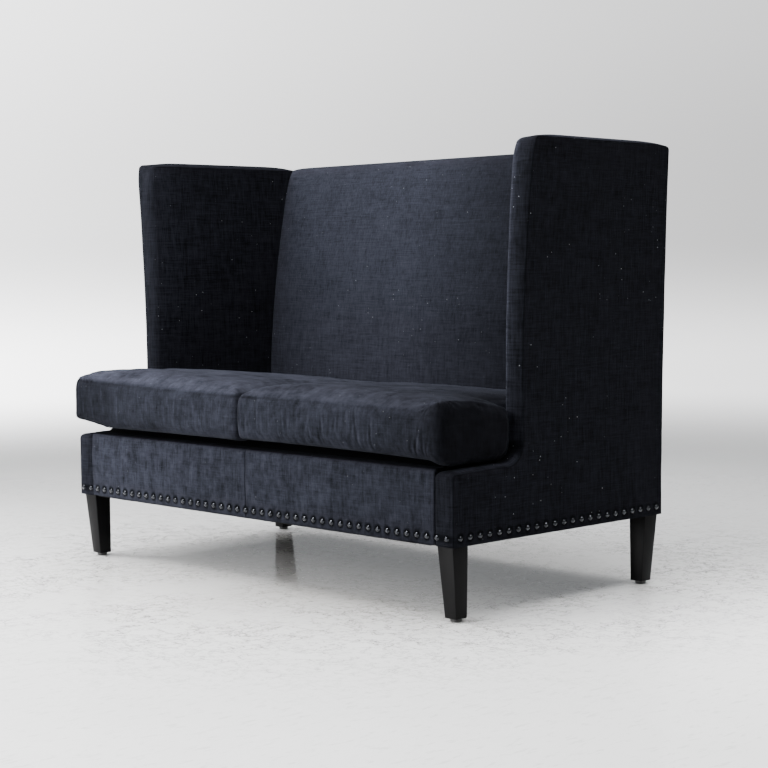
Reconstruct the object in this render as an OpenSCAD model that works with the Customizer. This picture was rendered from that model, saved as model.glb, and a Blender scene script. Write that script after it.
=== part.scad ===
// High back settee: flared high wings, low fronts, an apron with domed nails, four tapered legs
// and two loose L-shaped seat cushions on a zigzag spring deck.
// The floor is z = 0, the front faces -Y and the settee is even about x = 0.
// Inside the file a depth of 0 is the face of the apron, and depth grows towards the back.

/* [Overall] */
// Width over the outsides of the two sides, at the base
body_w = 1520; // [1400:10:1700]
// Depth from the face of the apron to the outside back, at the base
body_d = 800; // [760:5:880]
// Height of the crowned tops of the wings above the floor
total_h = 1163; // [1120:5:1220]
// Height of the underside of the body above the floor
clear_h = 184; // [160:2:210]

/* [Sides] */
// Thickness of a side at its base
side_t = 60; // [54:1:70]
// How far the low fronts of the sides lie below the seat deck
low_drop = 20; // [4:1:36]
// Depth at which the wing rises from the low front
wing_y = 240; // [225:1:255]
// Radius of the hollow corner between low front and wing
hollow_r = 45; // [20:1:60]
// Radius of the front corner of the low front
low_corner_r = 14; // [10:1:20]
// Radius of the front and rear top corners of a wing
wing_corner_r = 18; // [14:1:26]
// How far the soft border stands proud of its seams
border_crown = 8; // [4:0.5:10]
// Outward flare of the outside at the top front of a wing
flare_front = 40; // [20:1:50]
// Outward flare of the inside at the top front of a wing
flare_front_in = 28; // [14:1:34]
// Outward flare at the top rear of a wing
flare_rear = 8; // [0:1:14]
// Height at which the flare starts
flare_h = 520; // [480:5:600]
// Backward lean of the wing's front edge at its top
wing_rake = 4; // [0:1:10]

/* [Back] */
// Backward lean of the outside back at the top
back_lean = 21; // [10:1:30]
// Height at which the lean starts
lean_h = 300; // [280:5:400]
// Depth of the back at the seat deck, from its face to the outside back
back_d = 124; // [116:1:136]
// How far the inside back sweeps backwards from the deck to the top
back_sweep = 107; // [90:1:112]
// How far the rolled top of the back lies below the tops of the wings
back_drop = 5; // [3:1:12]
// Height of the roll below the top of the back
roll_h = 150; // [120:5:170]

/* [Seat] */
// Height of the seat deck's flat top
deck_h = 388; // [380:1:394]
// How far the apron's top edge lies below the seat deck
apron_drop = 20; // [16:1:32]
// Height of the cushions' wall, from the seat deck to the top seam at the front
wall_h = 122; // [102:1:142]
// Extra height of the crown in the middle of a cushion
cushion_crown = 38; // [20:1:50]
// Overhang of the cushions in front of the apron
overhang = 33; // [16:1:40]
// Half of the width over both cushion ears
ear_x = 748; // [730:1:752]
// Gap that a cushion leaves to the wing, to the back and to its twin
cushion_gap = 2; // [1:0.5:5]
// Fall of the ears below the flat underside
ear_drop = 12; // [4:1:14]
// Draw-in of the seams from the fullest line of the cushion wall
seam_draw = 6; // [3:0.5:8]
// Radius of a cushion's outer front corner
cushion_front_r = 26; // [20:1:44]
// Radius of a cushion's front corner beside its twin
cushion_twin_r = 12; // [9:1:28]
// Radius of a cushion's corner at the rear of the ear
cushion_ear_r = 16; // [10:1:18]
// Radius of the corner between a cushion's ear and the wing
cushion_tuck_r = 12; // [8:1:14]
// Radius of a cushion's outer rear corner
cushion_rear_r = 30; // [20:1:40]

/* [Legs] */
// Width of a square leg at its top
leg_top = 52; // [46:1:56]
// Width of a square leg at its foot
leg_foot = 38; // [32:1:42]
// Inset of a leg's top from the faces of the body
leg_inset = 9; // [5:1:12]
// Further inset of a leg's foot along the width
foot_in_x = 8; // [5:1:12]
// Further inset of a leg's foot along the depth
foot_in_y = 18; // [12:1:20]
// Diameter of a glide
glide_d = 28; // [22:1:32]
// Height of a glide
glide_h = 8; // [5:0.5:12]
// Diameter of the hanger bolt in a leg
bolt_d = 8; // [6:1:10]

/* [Nails] */
// Diameter of a nail's domed head
nail_d = 16; // [12:0.5:18]
// Height of the dome
nail_dome = 5.5; // [3:0.5:7]
// Height of the nail row above the underside of the body
nail_rise = 21; // [15:1:30]
// Spacing of the nails on the front
nail_pitch_front = 33.7; // [28:0.1:38]
// Spacing of the nails on the sides
nail_pitch_side = 34.1; // [28:0.1:38]
// Depth of the first nail on a side
nail_first = 24.3; // [18:0.1:30]
// Diameter of a nail's shank
shank_d = 1.8; // [1.2:0.1:2.4]
// Length of a nail's shank
shank_l = 14; // [12:0.5:18]

/* [Frame] */
// Thickness of the frame timber
timber = 25; // [22:1:28]
// Width of the posts and rails of the sides
member_w = 50; // [40:1:55]
// How far the tops of the seat rails lie below the seat deck
rail_drop = 51.5; // [47:0.5:60]
// Number of zigzag springs
springs = 8; // [6:1:10]
// Diameter of the spring wire
wire_d = 3.8; // [3:0.1:4.5]
// Rise of the springs above their clips in the middle
spring_rise = 14; // [6:1:16]
// Number of belts up the inside of the back frame
belts = 6; // [4:2:8]

/* [Cover] */
// Thickness of the upholstery cloth with its lining
cloth = 2.5; // [2:0.1:3]
// Thickness of the outside back panel
back_t = 3; // [2.5:0.5:5]

/* [Hidden] */
SIDES = ["left", "right"];

cloth_colour = "#2b3242";
timber_colour = "#b98f5e";
black_colour = "#17161a";
metal_colour = "#4a4d55";
foam_colour = "#e6dfc6";

// Clearances and one overrun for all cuts
fit = 0.3;
over = 5;
run = 900;

half_w = body_w / 2;
inner_x = half_w - side_t;
mid_depth = (body_d + back_lean - overhang) / 2;
core_in = (side_t - timber) / 2;
floor_rail = clear_h + cloth;
low_share = 0.35;
low_proud = border_crown / 4;
low_h = deck_h - low_drop;
apron_h = deck_h - apron_drop;
seat_seam_h = deck_h + wall_h;
rail_h = deck_h - rail_drop - floor_rail;
back_y = body_d - back_d;
back_h = total_h - back_drop;

module coloured(c) color(c) translate([0, -mid_depth, 0]) children();
module on_side(side) mirror([side == "left" ? 1 : 0, 0, 0]) children();
module timber_of(side) coloured(timber_colour) on_side(side) children();

// Curved lines of the settee

function rise(z) = max(0, (z - flare_h) / (total_h - flare_h));
function along(y) = min(1, max(0, (y - wing_y) / (body_d - wing_y)));
function flare(y, z, front) = (front + (flare_rear - front) * along(y)) * rise(z) ^ 2;
function x_out(y, z) = half_w + flare(y, z, flare_front);
function x_in(y, z) = inner_x + flare(y, z, flare_front_in);
function lean(z) = back_lean * max(0, (z - lean_h) / (total_h - lean_h));
function rear_y(z) = body_d - back_t + lean(z);

// Joins rings of points into one closed skin: ring k to ring k + 1, with a cap at each end.
// Caps are strips between the front half and the back half of the ring.
module skin(rings) {
    n = len(rings[0]);
    m = len(rings);
    pts = [for (r = rings) each r];
    walls = [for (k = [0 : m - 2], i = [0 : n - 1]) let (j = (i + 1) % n)
        each [[k * n + i, k * n + j, (k + 1) * n + j], [k * n + i, (k + 1) * n + j, (k + 1) * n + i]]];
    strips = [for (i = [0 : n / 2 - 2]) let (a = i, b = i + 1, c = n - 2 - i, d = n - 1 - i)
        each [[a, c, b], [a, d, c]]];
    last = (m - 1) * n;
    far = [for (t = strips) [t[0] + last, t[2] + last, t[1] + last]];
    polyhedron(concat(pts), concat(walls, strips, far), convexity = 8);
}

// Sides: the L-shaped outline in depth and height, inset by d, with the border drawn in by c

corner_steps = 3;
wing_shares = [0.12, 0.3, 0.46, 0.6, 0.72, 0.83, 0.92];

function arc(steps) = [for (k = [0 : steps]) 90 * k / steps];
function low_face(d, c) = d - low_proud + low_share * c;

function side_front(d, c) =
    let (y0 = low_face(d, c), e = d + c, top = low_h - e,
        rc = max(low_corner_r - e, low_corner_r / 4),
        hy = wing_y - hollow_r, hz = low_h + hollow_r, hr = hollow_r + e,
        wr = max(wing_corner_r - e, wing_corner_r / 4),
        z1 = total_h - e - wr, y1 = wing_y + e)
    concat(
        [[y0, clear_h + d]],
        [for (a = arc(corner_steps)) [y0 + rc - rc * cos(a), top - rc + rc * sin(a)]],
        [for (a = arc(corner_steps)) [hy + hr * sin(a), hz - hr * cos(a)]],
        [for (s = wing_shares) let (z = hz + (z1 - hz) * s) [y1 + wing_rake * rise(z) ^ 2, z]],
        [for (a = arc(corner_steps)) let (z = z1 + wr * sin(a))
            [y1 + wing_rake * rise(z) ^ 2 + wr - wr * cos(a), z]]);

function side_rear(d, c) =
    let (e = d + c, n = 2 * corner_steps + 3, hz = low_h + hollow_r,
        wr = max(wing_corner_r - e, wing_corner_r / 4), z1 = total_h - e - wr,
        z0 = clear_h + d)
    concat(
        [for (k = [0 : n - 1]) let (z = z0 + (hz - z0) * k / (n - 1)) [rear_y(z) - d, z]],
        [for (s = wing_shares) let (z = hz + (z1 - hz) * s) [rear_y(z) - d, z]],
        [for (a = arc(corner_steps)) let (z = z1 + wr * sin(a))
            [rear_y(z) - d - wr + wr * cos(a), z]]);

function turned(list) = [for (k = [len(list) - 1 : -1 : 0]) list[k]];
function side_outline(d, c) = concat(side_front(d, c), turned(side_rear(d, c)));

// Where a ring lies between the inner and the outer face, and how far its border is drawn in
border_shares = [[0, 1.7], [0.06, 0.9], [0.22, 0.3], [0.5, 0], [0.8, 0.2], [0.95, 0.55], [1, 1]];

module side_form(d, shares) {
    skin([for (s = shares) [for (p = side_outline(d, border_crown * s[1]))
        let (a = x_in(p[0], p[1]) + d, b = x_out(p[0], p[1]) - d) [a + (b - a) * s[0], p[0], p[1]]]]);
}

// A slab under the outer face of a side: the outside panel, or the cut for it
module panel_form(c, inner, outer) {
    skin([for (o = [inner, outer]) [for (p = side_outline(0, c))
        [x_out(p[0], p[1]) + o, p[0], max(p[1], clear_h)]]]);
}

core_shares = [[0, 1], [1, 1]];

// Timbers of a side frame: a window onto the curved core, given as depths and heights
module side_timber(y0, y1, z0, z1, g) {
    intersection() {
        side_form(core_in - g, core_shares);
        translate([0, y0 - g, z0 - g])
            cube([run, y1 - y0 + 2 * g, z1 - z0 + 2 * g]);
    }
}

// Straight timbers stay below the flare, where the core is flat
module straight_timber(y0, y1, z0, z1, g) {
    translate([inner_x + core_in - g, y0 - g, z0 - g])
        cube([timber + 2 * g, y1 - y0 + 2 * g, z1 - z0 + 2 * g]);
}

stub_y = core_in - member_w / 5;
frame_rear = body_d - back_t;
arm_top = low_h - border_crown - core_in + cloth;
arm_bottom = arm_top - 0.8 * member_w;
post_y = wing_y + border_crown + core_in - cloth;
rear_post_y = frame_rear - member_w;
bottom_top = floor_rail + 1.6 * member_w;
wing_rail_z = total_h - border_crown - core_in - member_w;
tuck_z = deck_h + member_w / 2;

// The bottom rail is packed out to the cloth, so that the nails bite in it
module bottom_rail(g) {
    difference() {
        translate([inner_x + core_in - g, stub_y - g, floor_rail - g])
            cube([side_t - core_in - rail_front_y + 2 * g,
                frame_rear - cloth - fit - stub_y + 2 * g, bottom_top - floor_rail + 2 * g]);
        bolt_holes();
    }
}
module front_stub(g) {
    straight_timber(stub_y, stub_y + member_w, bottom_top, arm_top, g);
}
module arm_rail(g) {
    straight_timber(stub_y + member_w, post_y, arm_bottom, arm_top, g);
}
module wing_post(g) {
    side_timber(post_y, post_y + member_w, bottom_top, wing_rail_z, g);
}
module rear_post(g) {
    intersection() {
        side_form(core_in - g, core_shares);
        translate([0, rear_post_y - g, bottom_top - g])
            cube([run, member_w + back_lean + 2 * g, wing_rail_z - bottom_top + 2 * g]);
    }
}
module tuck_rail(g) {
    straight_timber(post_y + member_w, rear_post_y, tuck_z, tuck_z + member_w, g);
}
module wing_top_rail(g) {
    side_timber(post_y, frame_rear + back_lean, wing_rail_z, wing_rail_z + member_w, g);
}

module side_frame(g) {
    bottom_rail(g);
    front_stub(g);
    arm_rail(g);
    wing_post(g);
    rear_post(g);
    tuck_rail(g);
    wing_top_rail(g);
}

// Slots through the inner cloth and padding for the rails of seat and back
module rail_slots() {
    translate([inner_x - over, rail_front_y - fit, clear_h + cloth - fit])
        cube([over + core_in + fit, frame_rear - rail_front_y + over, rail_top - clear_h - cloth + 2 * fit]);
    for (z = [back_bottom_z, back_top_z]) on_lean(z)
        translate([inner_x - over, -back_frame_t - fit, -fit])
            cube([over + core_in + flare_front_in / 2, back_frame_t + 2 * fit, member_w + 2 * fit]);
}

module bolt_holes() {
    for (p = leg_places) if (p[0] > 0) translate([p[0], p[1], clear_h - over])
        cylinder(d = bolt_d + 2 * fit, h = bolt_up + over + fit, $fn = 24);
}

module side_padding(side) {
    coloured(foam_colour) on_side(side) difference() {
        side_form(cloth + fit, border_shares);
        side_frame(fit);
        rail_slots();
        bolt_holes();
    }
}

module side_cover(side) {
    coloured(cloth_colour) on_side(side) difference() {
        side_form(0, border_shares);
        side_form(cloth, border_shares);
        panel_form(border_crown + fit, -cloth - fit, over);
        rail_slots();
        bolt_holes();
    }
}

module outside_panel(side) {
    coloured(cloth_colour) on_side(side) panel_form(border_crown + 2 * fit, -cloth, 0);
}

// Back: the section from the deck up the face, over the roll and down the rear

back_frame_t = 22;
back_foot = deck_h - 0.5 * member_w;
back_steps = 5;
roll_steps = 5;
rear_r = 14;
end_tuck = 9;
end_drop = 5;
wing_gap = 0.8;
roll_lead = [0.42, 0.3];

function face_y(z) = back_y + back_sweep * (max(0, z - deck_h) / (total_h - deck_h)) ^ 2;
function face_slope(z) = 2 * back_sweep * (z - deck_h) / (total_h - deck_h) ^ 2;
function curve(a, b, c, d, t) =
    a * (1 - t) ^ 3 + 3 * b * t * (1 - t) ^ 2 + 3 * c * t ^ 2 * (1 - t) + d * t ^ 3;

function back_front(d, tuck, drop) =
    let (z1 = back_h - roll_h, z2 = back_h - drop - d, y1 = face_y(z1),
        y2 = rear_y(back_h) - rear_r,
        p = [y1, z1], q = [y1 + face_slope(z1) * roll_h * roll_lead[0], z1 + roll_h * roll_lead[0]],
        r = [y2 - roll_h * roll_lead[1] / 2, z2], s = [y2, z2])
    concat(
        [for (k = [0 : back_steps - 1]) let (z = back_foot + (z1 - back_foot) * k / back_steps)
            [face_y(z) + d + tuck, z]],
        [for (k = [0 : roll_steps]) let (t = k / roll_steps, v = curve(p, q, r, s, t))
            [v[0] + (d + tuck) * (1 - t), v[1]]]);

function back_rear(d, drop, out) =
    let (n = back_steps + roll_steps + 1, z2 = back_h - drop - d, z1 = z2 - rear_r + d / 2)
    [for (k = [0 : n - 1])
        k == n - 1 ? [rear_y(back_h) - rear_r / 3 + out, z2 - rear_r / 5] :
        k == n - 2 ? [rear_y(z1) - fit + out, z1] :
        let (z = back_foot + (z1 - back_foot) * k / (n - 2)) [rear_y(z) - fit + out, z]];

// Place of a ring along the half width, its tuck into the wing, and its fall at the corner
back_shares = [[1, 1, 1], [0.985, 0.5, 0.4], [0.94, 0.15, 0.1], [0.8, 0, 0], [0.4, 0, 0], [0, 0, 0]];
back_rings = concat([for (s = back_shares) [-s[0], s[1], s[2]]],
    [for (k = [len(back_shares) - 2 : -1 : 0]) back_shares[k]]);

// A back form inset by d, whose rear can be pushed out to leave it open there
module back_form(d, out = 0) {
    skin([for (s = back_rings) [for (p = concat(back_front(d, end_tuck * s[1], end_drop * s[2]),
            turned(back_rear(d, end_drop * s[2], out))))
        [s[0] * (x_in(p[0], p[1]) - wing_gap - d), p[0], p[1]]]]);
}

// Moves a flat drawing onto the leaning plane of the outside back, at a height
lean_a = atan(back_lean / (total_h - lean_h));
module on_lean(z) {
    translate([0, rear_y(z), z]) rotate([-lean_a, 0, 0]) children();
}

back_bottom_z = deck_h + member_w / 2;
back_top_z = back_h - roll_h / 2 + member_w / 3 - member_w / 2;
belt_t = 2;
belt_w = 50;

module leaning_timber(x, w, z0, h, g) {
    on_lean(z0) translate([x - g, -back_frame_t - g, -g])
        cube([w + 2 * g, back_frame_t + 2 * g, h + 2 * g]);
}

function back_half(z) = x_in(frame_rear, z) + core_in - fit;

module back_rail(z, g) {
    leaning_timber(-back_half(z), 2 * back_half(z), z, member_w, g);
}
module back_top_rail(g = 0) {
    coloured(timber_colour) back_rail(back_top_z, g);
}
module back_bottom_rail(g = 0) {
    coloured(timber_colour) back_rail(back_bottom_z, g);
}
module back_stud(g = 0) {
    coloured(timber_colour) leaning_timber(-member_w / 2, member_w, back_bottom_z + member_w,
        back_top_z - back_bottom_z - member_w, g);
}

belt_run = back_top_z - back_bottom_z + member_w;
belt_gap = 2 * inner_x / (belts + 1);

module back_belts() {
    coloured("#8d8468") for (k = [1 : belts]) on_lean(back_bottom_z)
        translate([-inner_x + k * belt_gap - belt_w / 2, -back_frame_t - belt_t, 0])
            cube([belt_w, belt_t, belt_run]);
}

module back_foam() {
    coloured(foam_colour) difference() {
        back_form(cloth + fit);
        on_lean(back_bottom_z) translate([-half_w, -back_frame_t - belt_t - fit, -body_d])
            cube([2 * half_w, body_d, back_top_z - back_bottom_z + member_w + fit + body_d]);
    }
}

module back_cover() {
    coloured(cloth_colour) difference() {
        back_form(0);
        back_form(cloth, over);
        on_lean(back_bottom_z) translate([-half_w, -back_frame_t - belt_t - fit, -body_d])
            cube([2 * half_w, body_d, back_top_z - back_bottom_z + member_w + fit + body_d]);
    }
}

panel_steps = 6;
module outside_back() {
    top = total_h - wing_corner_r - border_crown;
    levels = concat([clear_h, lean_h],
        [for (k = [0 : panel_steps]) flare_h + (top - flare_h) * k / panel_steps]);
    coloured(cloth_colour) {
        skin([for (z = levels) let (w = x_out(body_d, z) - border_crown / 2, y = rear_y(z))
            [[-w, y + fit, z], [-w, y + back_t, z], [w, y + back_t, z], [w, y + fit, z]]]);
        translate([-inner_x + fit, frame_rear - timber, clear_h])
            cube([2 * inner_x - 2 * fit, timber + back_t / 2, cloth - fit]);
    }
}

// Seat: rails, stretcher, corner blocks, springs and deck

apron_pad = 6;
rail_front_y = cloth + 2 * fit + apron_pad;
rail_top = floor_rail + rail_h;
rail_half = inner_x + core_in - fit;

module front_rail() {
    coloured(timber_colour) translate([-rail_half, rail_front_y, floor_rail])
        cube([2 * rail_half, timber, rail_h]);
}

module rear_rail() {
    coloured(timber_colour) translate([-rail_half, frame_rear - timber, floor_rail])
        cube([2 * rail_half, timber, rail_h]);
}

stretch_y = rail_front_y + timber;
stretch_l = frame_rear - timber - stretch_y;

module middle_stretcher() {
    coloured(timber_colour) translate([-timber / 2, stretch_y, floor_rail])
        cube([timber, stretch_l, 0.66 * rail_h]);
}

block = 1.4 * member_w;
module corner_blocks() {
    coloured(timber_colour) for (side = SIDES) on_side(side) {
        translate([rail_half, stretch_y, floor_rail]) linear_extrude(0.5 * rail_h)
            polygon([[0, 0], [-block, 0], [0, block]]);
        translate([rail_half, stretch_y + stretch_l, floor_rail]) linear_extrude(0.5 * rail_h)
            polygon([[0, 0], [0, -block], [-block, 0]]);
    }
}

// A zigzag spring: half waves across the width while the wire runs from front to rear
waves = 18;
wave_steps = 3;
spring_half = 24;
spring_y0 = stretch_y - timber / 2;
spring_l = stretch_l + timber;
spring_z = rail_top + wire_d / 2 + fit;
spring_pitch = 2 * inner_x / (springs + 1);
wire_sides = 4;

function spring_height(v) = spring_z + spring_rise * sin(180 * v);
function spring_point(v) =
    let (w = min(1, min(v, 1 - v) * waves))
    [spring_half * w * max(-1, min(1, 1.5 * sin(180 * waves * v))), spring_y0 + spring_l * v,
        spring_height(v)];

module spring() {
    n = waves * wave_steps;
    line = [for (k = [0 : n]) spring_point(k / n)];
    rings = [for (k = [0 : n])
        let (t = line[min(n, k + 1)] - line[max(0, k - 1)], u = t / norm(t),
            side_way = cross(u, [0, 0, 1]) / norm(cross(u, [0, 0, 1])), up = cross(side_way, u))
        [for (j = [0 : wire_sides - 1]) let (a = 360 * (j + 0.5) / wire_sides)
            line[k] + (wire_d / 2) * (side_way * cos(a) + up * sin(a))]];
    skin(rings);
}

// The springs of the left half are the mirror image of those of the right half
module each_spring() {
    for (k = [1 : springs]) let (x = -inner_x + k * spring_pitch)
        on_side(x < 0 ? "left" : "right") translate([abs(x), 0, 0]) children();
}

module seat_springs() {
    coloured("silver") each_spring() spring();
}

clip_w = 16;
clip_l = 18;
clip_t = 1.5;
module clip() {
    h = wire_d + 2 * fit;
    translate([-clip_w / 2, 0, 0]) difference() {
        cube([clip_w, clip_l, h + clip_t]);
        translate([-over, -over, 0]) cube([clip_w + 2 * over, clip_l + over - clip_t, h]);
    }
}

module spring_clips() {
    coloured(metal_colour) each_spring() {
        translate([0, spring_y0 + clip_l / 2, rail_top]) mirror([0, 1, 0]) clip();
        translate([0, spring_y0 + spring_l - clip_l / 2, rail_top]) clip();
    }
}

tie_shares = [0.33, 0.67];
tie_d = 2.5;
module tie_wires() {
    coloured("silver") for (s = tie_shares)
        translate([-inner_x + spring_pitch / 2, spring_y0 + spring_l * s,
            spring_height(s) - wire_d / 2 - tie_d / 2 - fit])
            rotate([0, 90, 0]) cylinder(d = tie_d, h = 2 * inner_x - spring_pitch, $fn = 24);
}

// Sheets of the deck are drawn as depth and height and drawn out along the width
module along_width(half) {
    rotate([90, 0, 90]) translate([0, 0, -half]) linear_extrude(2 * half) children();
}

deck_half = inner_x - fit;
sheet_t = 2;
deck_steps = 10;
deck_y0 = 45;
deck_rise_y = 60;
deck_y1 = back_y - fit;

function sheet_z(y) =
    let (v = min(1, max(0, (y - spring_y0) / spring_l)))
    spring_height(v) + wire_d / 2 + clip_t + fit;
function deck_top(y) =
    let (t = min(1, max(0, (y - deck_y0) / deck_rise_y)))
    apron_h - cloth + (deck_h - apron_h + cloth) * (3 * t ^ 2 - 2 * t ^ 3);
function deck_line(y0, y1, top, drop) =
    [for (k = [0 : deck_steps]) let (y = y0 + (y1 - y0) * k / deck_steps)
        [y, (top ? deck_top(y) : sheet_z(y)) - drop]];

module insulator_sheet() {
    coloured("#9b8a64") along_width(deck_half)
        polygon(concat(deck_line(stretch_y, deck_y1, false, -sheet_t),
            turned(deck_line(stretch_y, deck_y1, false, 0))));
}

module deck_foam() {
    coloured(foam_colour) along_width(deck_half)
        polygon(concat(deck_line(deck_y0, deck_y1, true, cloth + fit),
            turned(deck_line(deck_y0, deck_y1, false, -sheet_t - fit))));
}

module deck_cloth() {
    coloured(cloth_colour) along_width(deck_half)
        polygon(concat(deck_line(deck_y0, deck_y1, true, 0),
            turned(deck_line(deck_y0, deck_y1, true, cloth))));
}

// Apron: a padded band between the sides, rounded over the front rail

apron_r = 14;
apron_bulge = 2;
seam_w = 1.6;
apron_steps = 6;
function apron_face(z) = -apron_bulge * max(0, sin(180 * (z - clear_h - 2 * nail_rise)
    / (apron_h - apron_r - clear_h - 2 * nail_rise)));
function apron_line(d, y1) = concat(
    [[d, clear_h + d], [d, clear_h + 2 * nail_rise]],
    [for (k = [1 : apron_steps - 1])
        let (z = clear_h + 2 * nail_rise + (apron_h - apron_r - clear_h - 2 * nail_rise) * k / apron_steps)
        [apron_face(z) + d, z]],
    [for (a = arc(4)) [apron_r - (apron_r - d) * cos(a), apron_h - apron_r + (apron_r - d) * sin(a)]],
    [[y1, apron_h - d]]);

module apron_padding() {
    coloured(foam_colour) along_width(deck_half) difference() {
        polygon(concat(apron_line(cloth + fit, deck_y0 - fit),
            [[deck_y0 - fit, rail_top], [rail_front_y + fit, floor_rail]]));
        translate([rail_front_y - fit, 0]) square([timber + 2 * fit, rail_top + fit]);
        translate([rail_front_y - fit, 0]) square([run, sheet_z(deck_y0) + sheet_t + fit]);
    }
}

module apron_cover() {
    coloured(cloth_colour) difference() {
        along_width(deck_half) difference() {
            polygon(concat(apron_line(0, deck_y0 - fit),
                [[deck_y0 - fit, apron_h - cloth], [deck_y0 - fit, clear_h]]));
            polygon(concat(apron_line(cloth, run), [[run, clear_h + cloth]]));
        }
        translate([0, -apron_bulge, clear_h]) rotate([0, 0, 45])
            translate([-seam_w / 2, -seam_w / 2, -over]) cube([seam_w, seam_w, apron_h - clear_h]);
    }
}

module dust_cover() {
    w = inner_x - 2 * member_w / 5;
    coloured(black_colour) translate([0, 0, clear_h - cloth]) linear_extrude(cloth - fit) union() {
        translate([-w, apron_pad]) square([2 * w, body_d - 2 * apron_pad]);
        translate([-w - member_w / 2, 2 * leg_top])
            square([2 * w + member_w, body_d - 4 * leg_top]);
    }
}

// Nails: a domed head and a shank, driven through the cloth into the rails

nail_z = clear_h + nail_rise;
dome_r = (nail_d ^ 2 / 4 + nail_dome ^ 2) / (2 * nail_dome);
count_front = 2 * floor((half_w - nail_d) / nail_pitch_front) + 1;
count_side = floor((body_d - nail_first - nail_d / 2) / nail_pitch_side) + 1;

module nail() {
    rotate([0, 90, 0]) {
        rotate_extrude($fn = 32) intersection() {
            translate([0, nail_dome - dome_r]) circle(dome_r, $fn = 48);
            square([nail_d, nail_dome]);
        }
        translate([0, 0, -shank_l]) cylinder(d = shank_d, h = shank_l, $fn = 16);
    }
}

// Depth of the low front's face at a place along the width
function border_share(t) = lookup(t, border_shares);
function nail_face(x) =
    abs(x) < inner_x ? 0 : low_face(0, border_crown * border_share((abs(x) - inner_x) / side_t));

module front_nails() {
    coloured(metal_colour) for (k = [0 : count_front - 1])
        let (x = (k - (count_front - 1) / 2) * nail_pitch_front)
        translate([x, nail_face(x), nail_z]) rotate([0, 0, -90]) nail();
}

module side_nails(side) {
    coloured(metal_colour) on_side(side) for (k = [0 : count_side - 1])
        translate([half_w, nail_first + k * nail_pitch_side, nail_z]) nail();
}

// Legs

bolt_up = 60;
bolt_down = 50;
leg_x = half_w - leg_inset - leg_top / 2;
foot_x = half_w - leg_inset - foot_in_x - leg_foot / 2;
leg_places = [for (sx = [-1, 1], sy = [0, 1])
    [sx * leg_x, sy == 0 ? leg_inset + leg_top / 2 : body_d - leg_inset - leg_top / 2, sx, sy]];
foot_places = [for (sx = [-1, 1], sy = [0, 1])
    [sx * foot_x, sy == 0 ? leg_inset + foot_in_y + leg_foot / 2
        : body_d - leg_inset - foot_in_y - leg_foot / 2]];

function leg_ring(p, w, z) = [for (c = [[-1, -1], [-1, 1], [1, 1], [1, -1]])
    [p[0] + c[0] * w / 2, p[1] + c[1] * w / 2, z]];

pin_d = 5;
pin_l = 15;

module leg(k) {
    coloured(black_colour) difference() {
        skin([leg_ring(foot_places[k], leg_foot, glide_h), leg_ring(leg_places[k], leg_top, clear_h)]);
        translate([leg_places[k][0], leg_places[k][1], clear_h - bolt_down - fit])
            cylinder(d = bolt_d + fit / 2, h = bolt_down + over, $fn = 32);
        translate([foot_places[k][0], foot_places[k][1], glide_h - over])
            cylinder(d = pin_d + fit / 2, h = pin_l + over + fit, $fn = 32);
    }
}

module leg_bolts() {
    coloured("silver") for (p = leg_places)
        translate([p[0], p[1], clear_h - bolt_down]) cylinder(d = bolt_d, h = bolt_down + bolt_up, $fn = 32);
}

module glides() {
    coloured(black_colour) for (p = foot_places) translate([p[0], p[1], 0]) {
        cylinder(d = glide_d, h = glide_h, $fn = 48);
        cylinder(d = pin_d, h = glide_h + pin_l, $fn = 32);
    }
}

// Cushions: an L seen from above, built from rings that follow its outline

cushion_x0 = cushion_gap / 2;
main_x = inner_x - cushion_gap;
ear_y = wing_y - 2 * cushion_gap;
cushion_y1 = back_y - cushion_gap;
cushion_z0 = deck_h + fit;
shoulder = 0.45 * (ear_y + overhang);
heart_share = 0.46;
back_seam_drop = 8;

// Corners of the L with their radii, anticlockwise from the front inner corner; the last value
// is the number of extra points on the edge that follows
function cushion_corners(d) = [
    [cushion_x0 + d, d - overhang, cushion_twin_r, 5],
    [ear_x - d, d - overhang, cushion_front_r, 2],
    [ear_x - d, ear_y - d, cushion_ear_r, 0],
    [main_x - d, ear_y - d, -cushion_tuck_r, 4],
    [main_x - d, cushion_y1 - d, cushion_rear_r, 4],
    [cushion_x0 + d, cushion_y1 - d, cushion_twin_r, 5]];

turns = [180, 270, 0, 90, 0, 90];
turn_steps = 3;
turn_ways = [[1, 1], [-1, 1], [-1, -1], [1, 1], [-1, -1], [1, -1]];
least_r = 2;
most_hollow_r = 1.5 * cushion_tuck_r;

function corner_points(c, k, d) =
    let (r = c[2] > 0 ? max(c[2] - d, least_r) : min(d - c[2], most_hollow_r), way = turn_ways[k],
        m = [c[0] + way[0] * r, c[1] + way[1] * r])
    [for (j = [0 : turn_steps]) let (s = j / turn_steps,
        a = c[2] > 0 ? turns[k] + 90 * s : 270 - 90 * s) [m[0] + r * cos(a), m[1] + r * sin(a)]];

function cushion_outline(d, dense) =
    let (cs = cushion_corners(d), arcs = [for (k = [0 : 5]) corner_points(cs[k], k, d)])
    [for (k = [0 : 5]) let (next = arcs[(k + 1) % 6][0], last = arcs[k][turn_steps],
            extra = dense ? cs[k][3] : 0)
        each concat(arcs[k],
            [for (j = [1 : 1 : extra]) last + (next - last) * j / (extra + 1)])];

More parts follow.
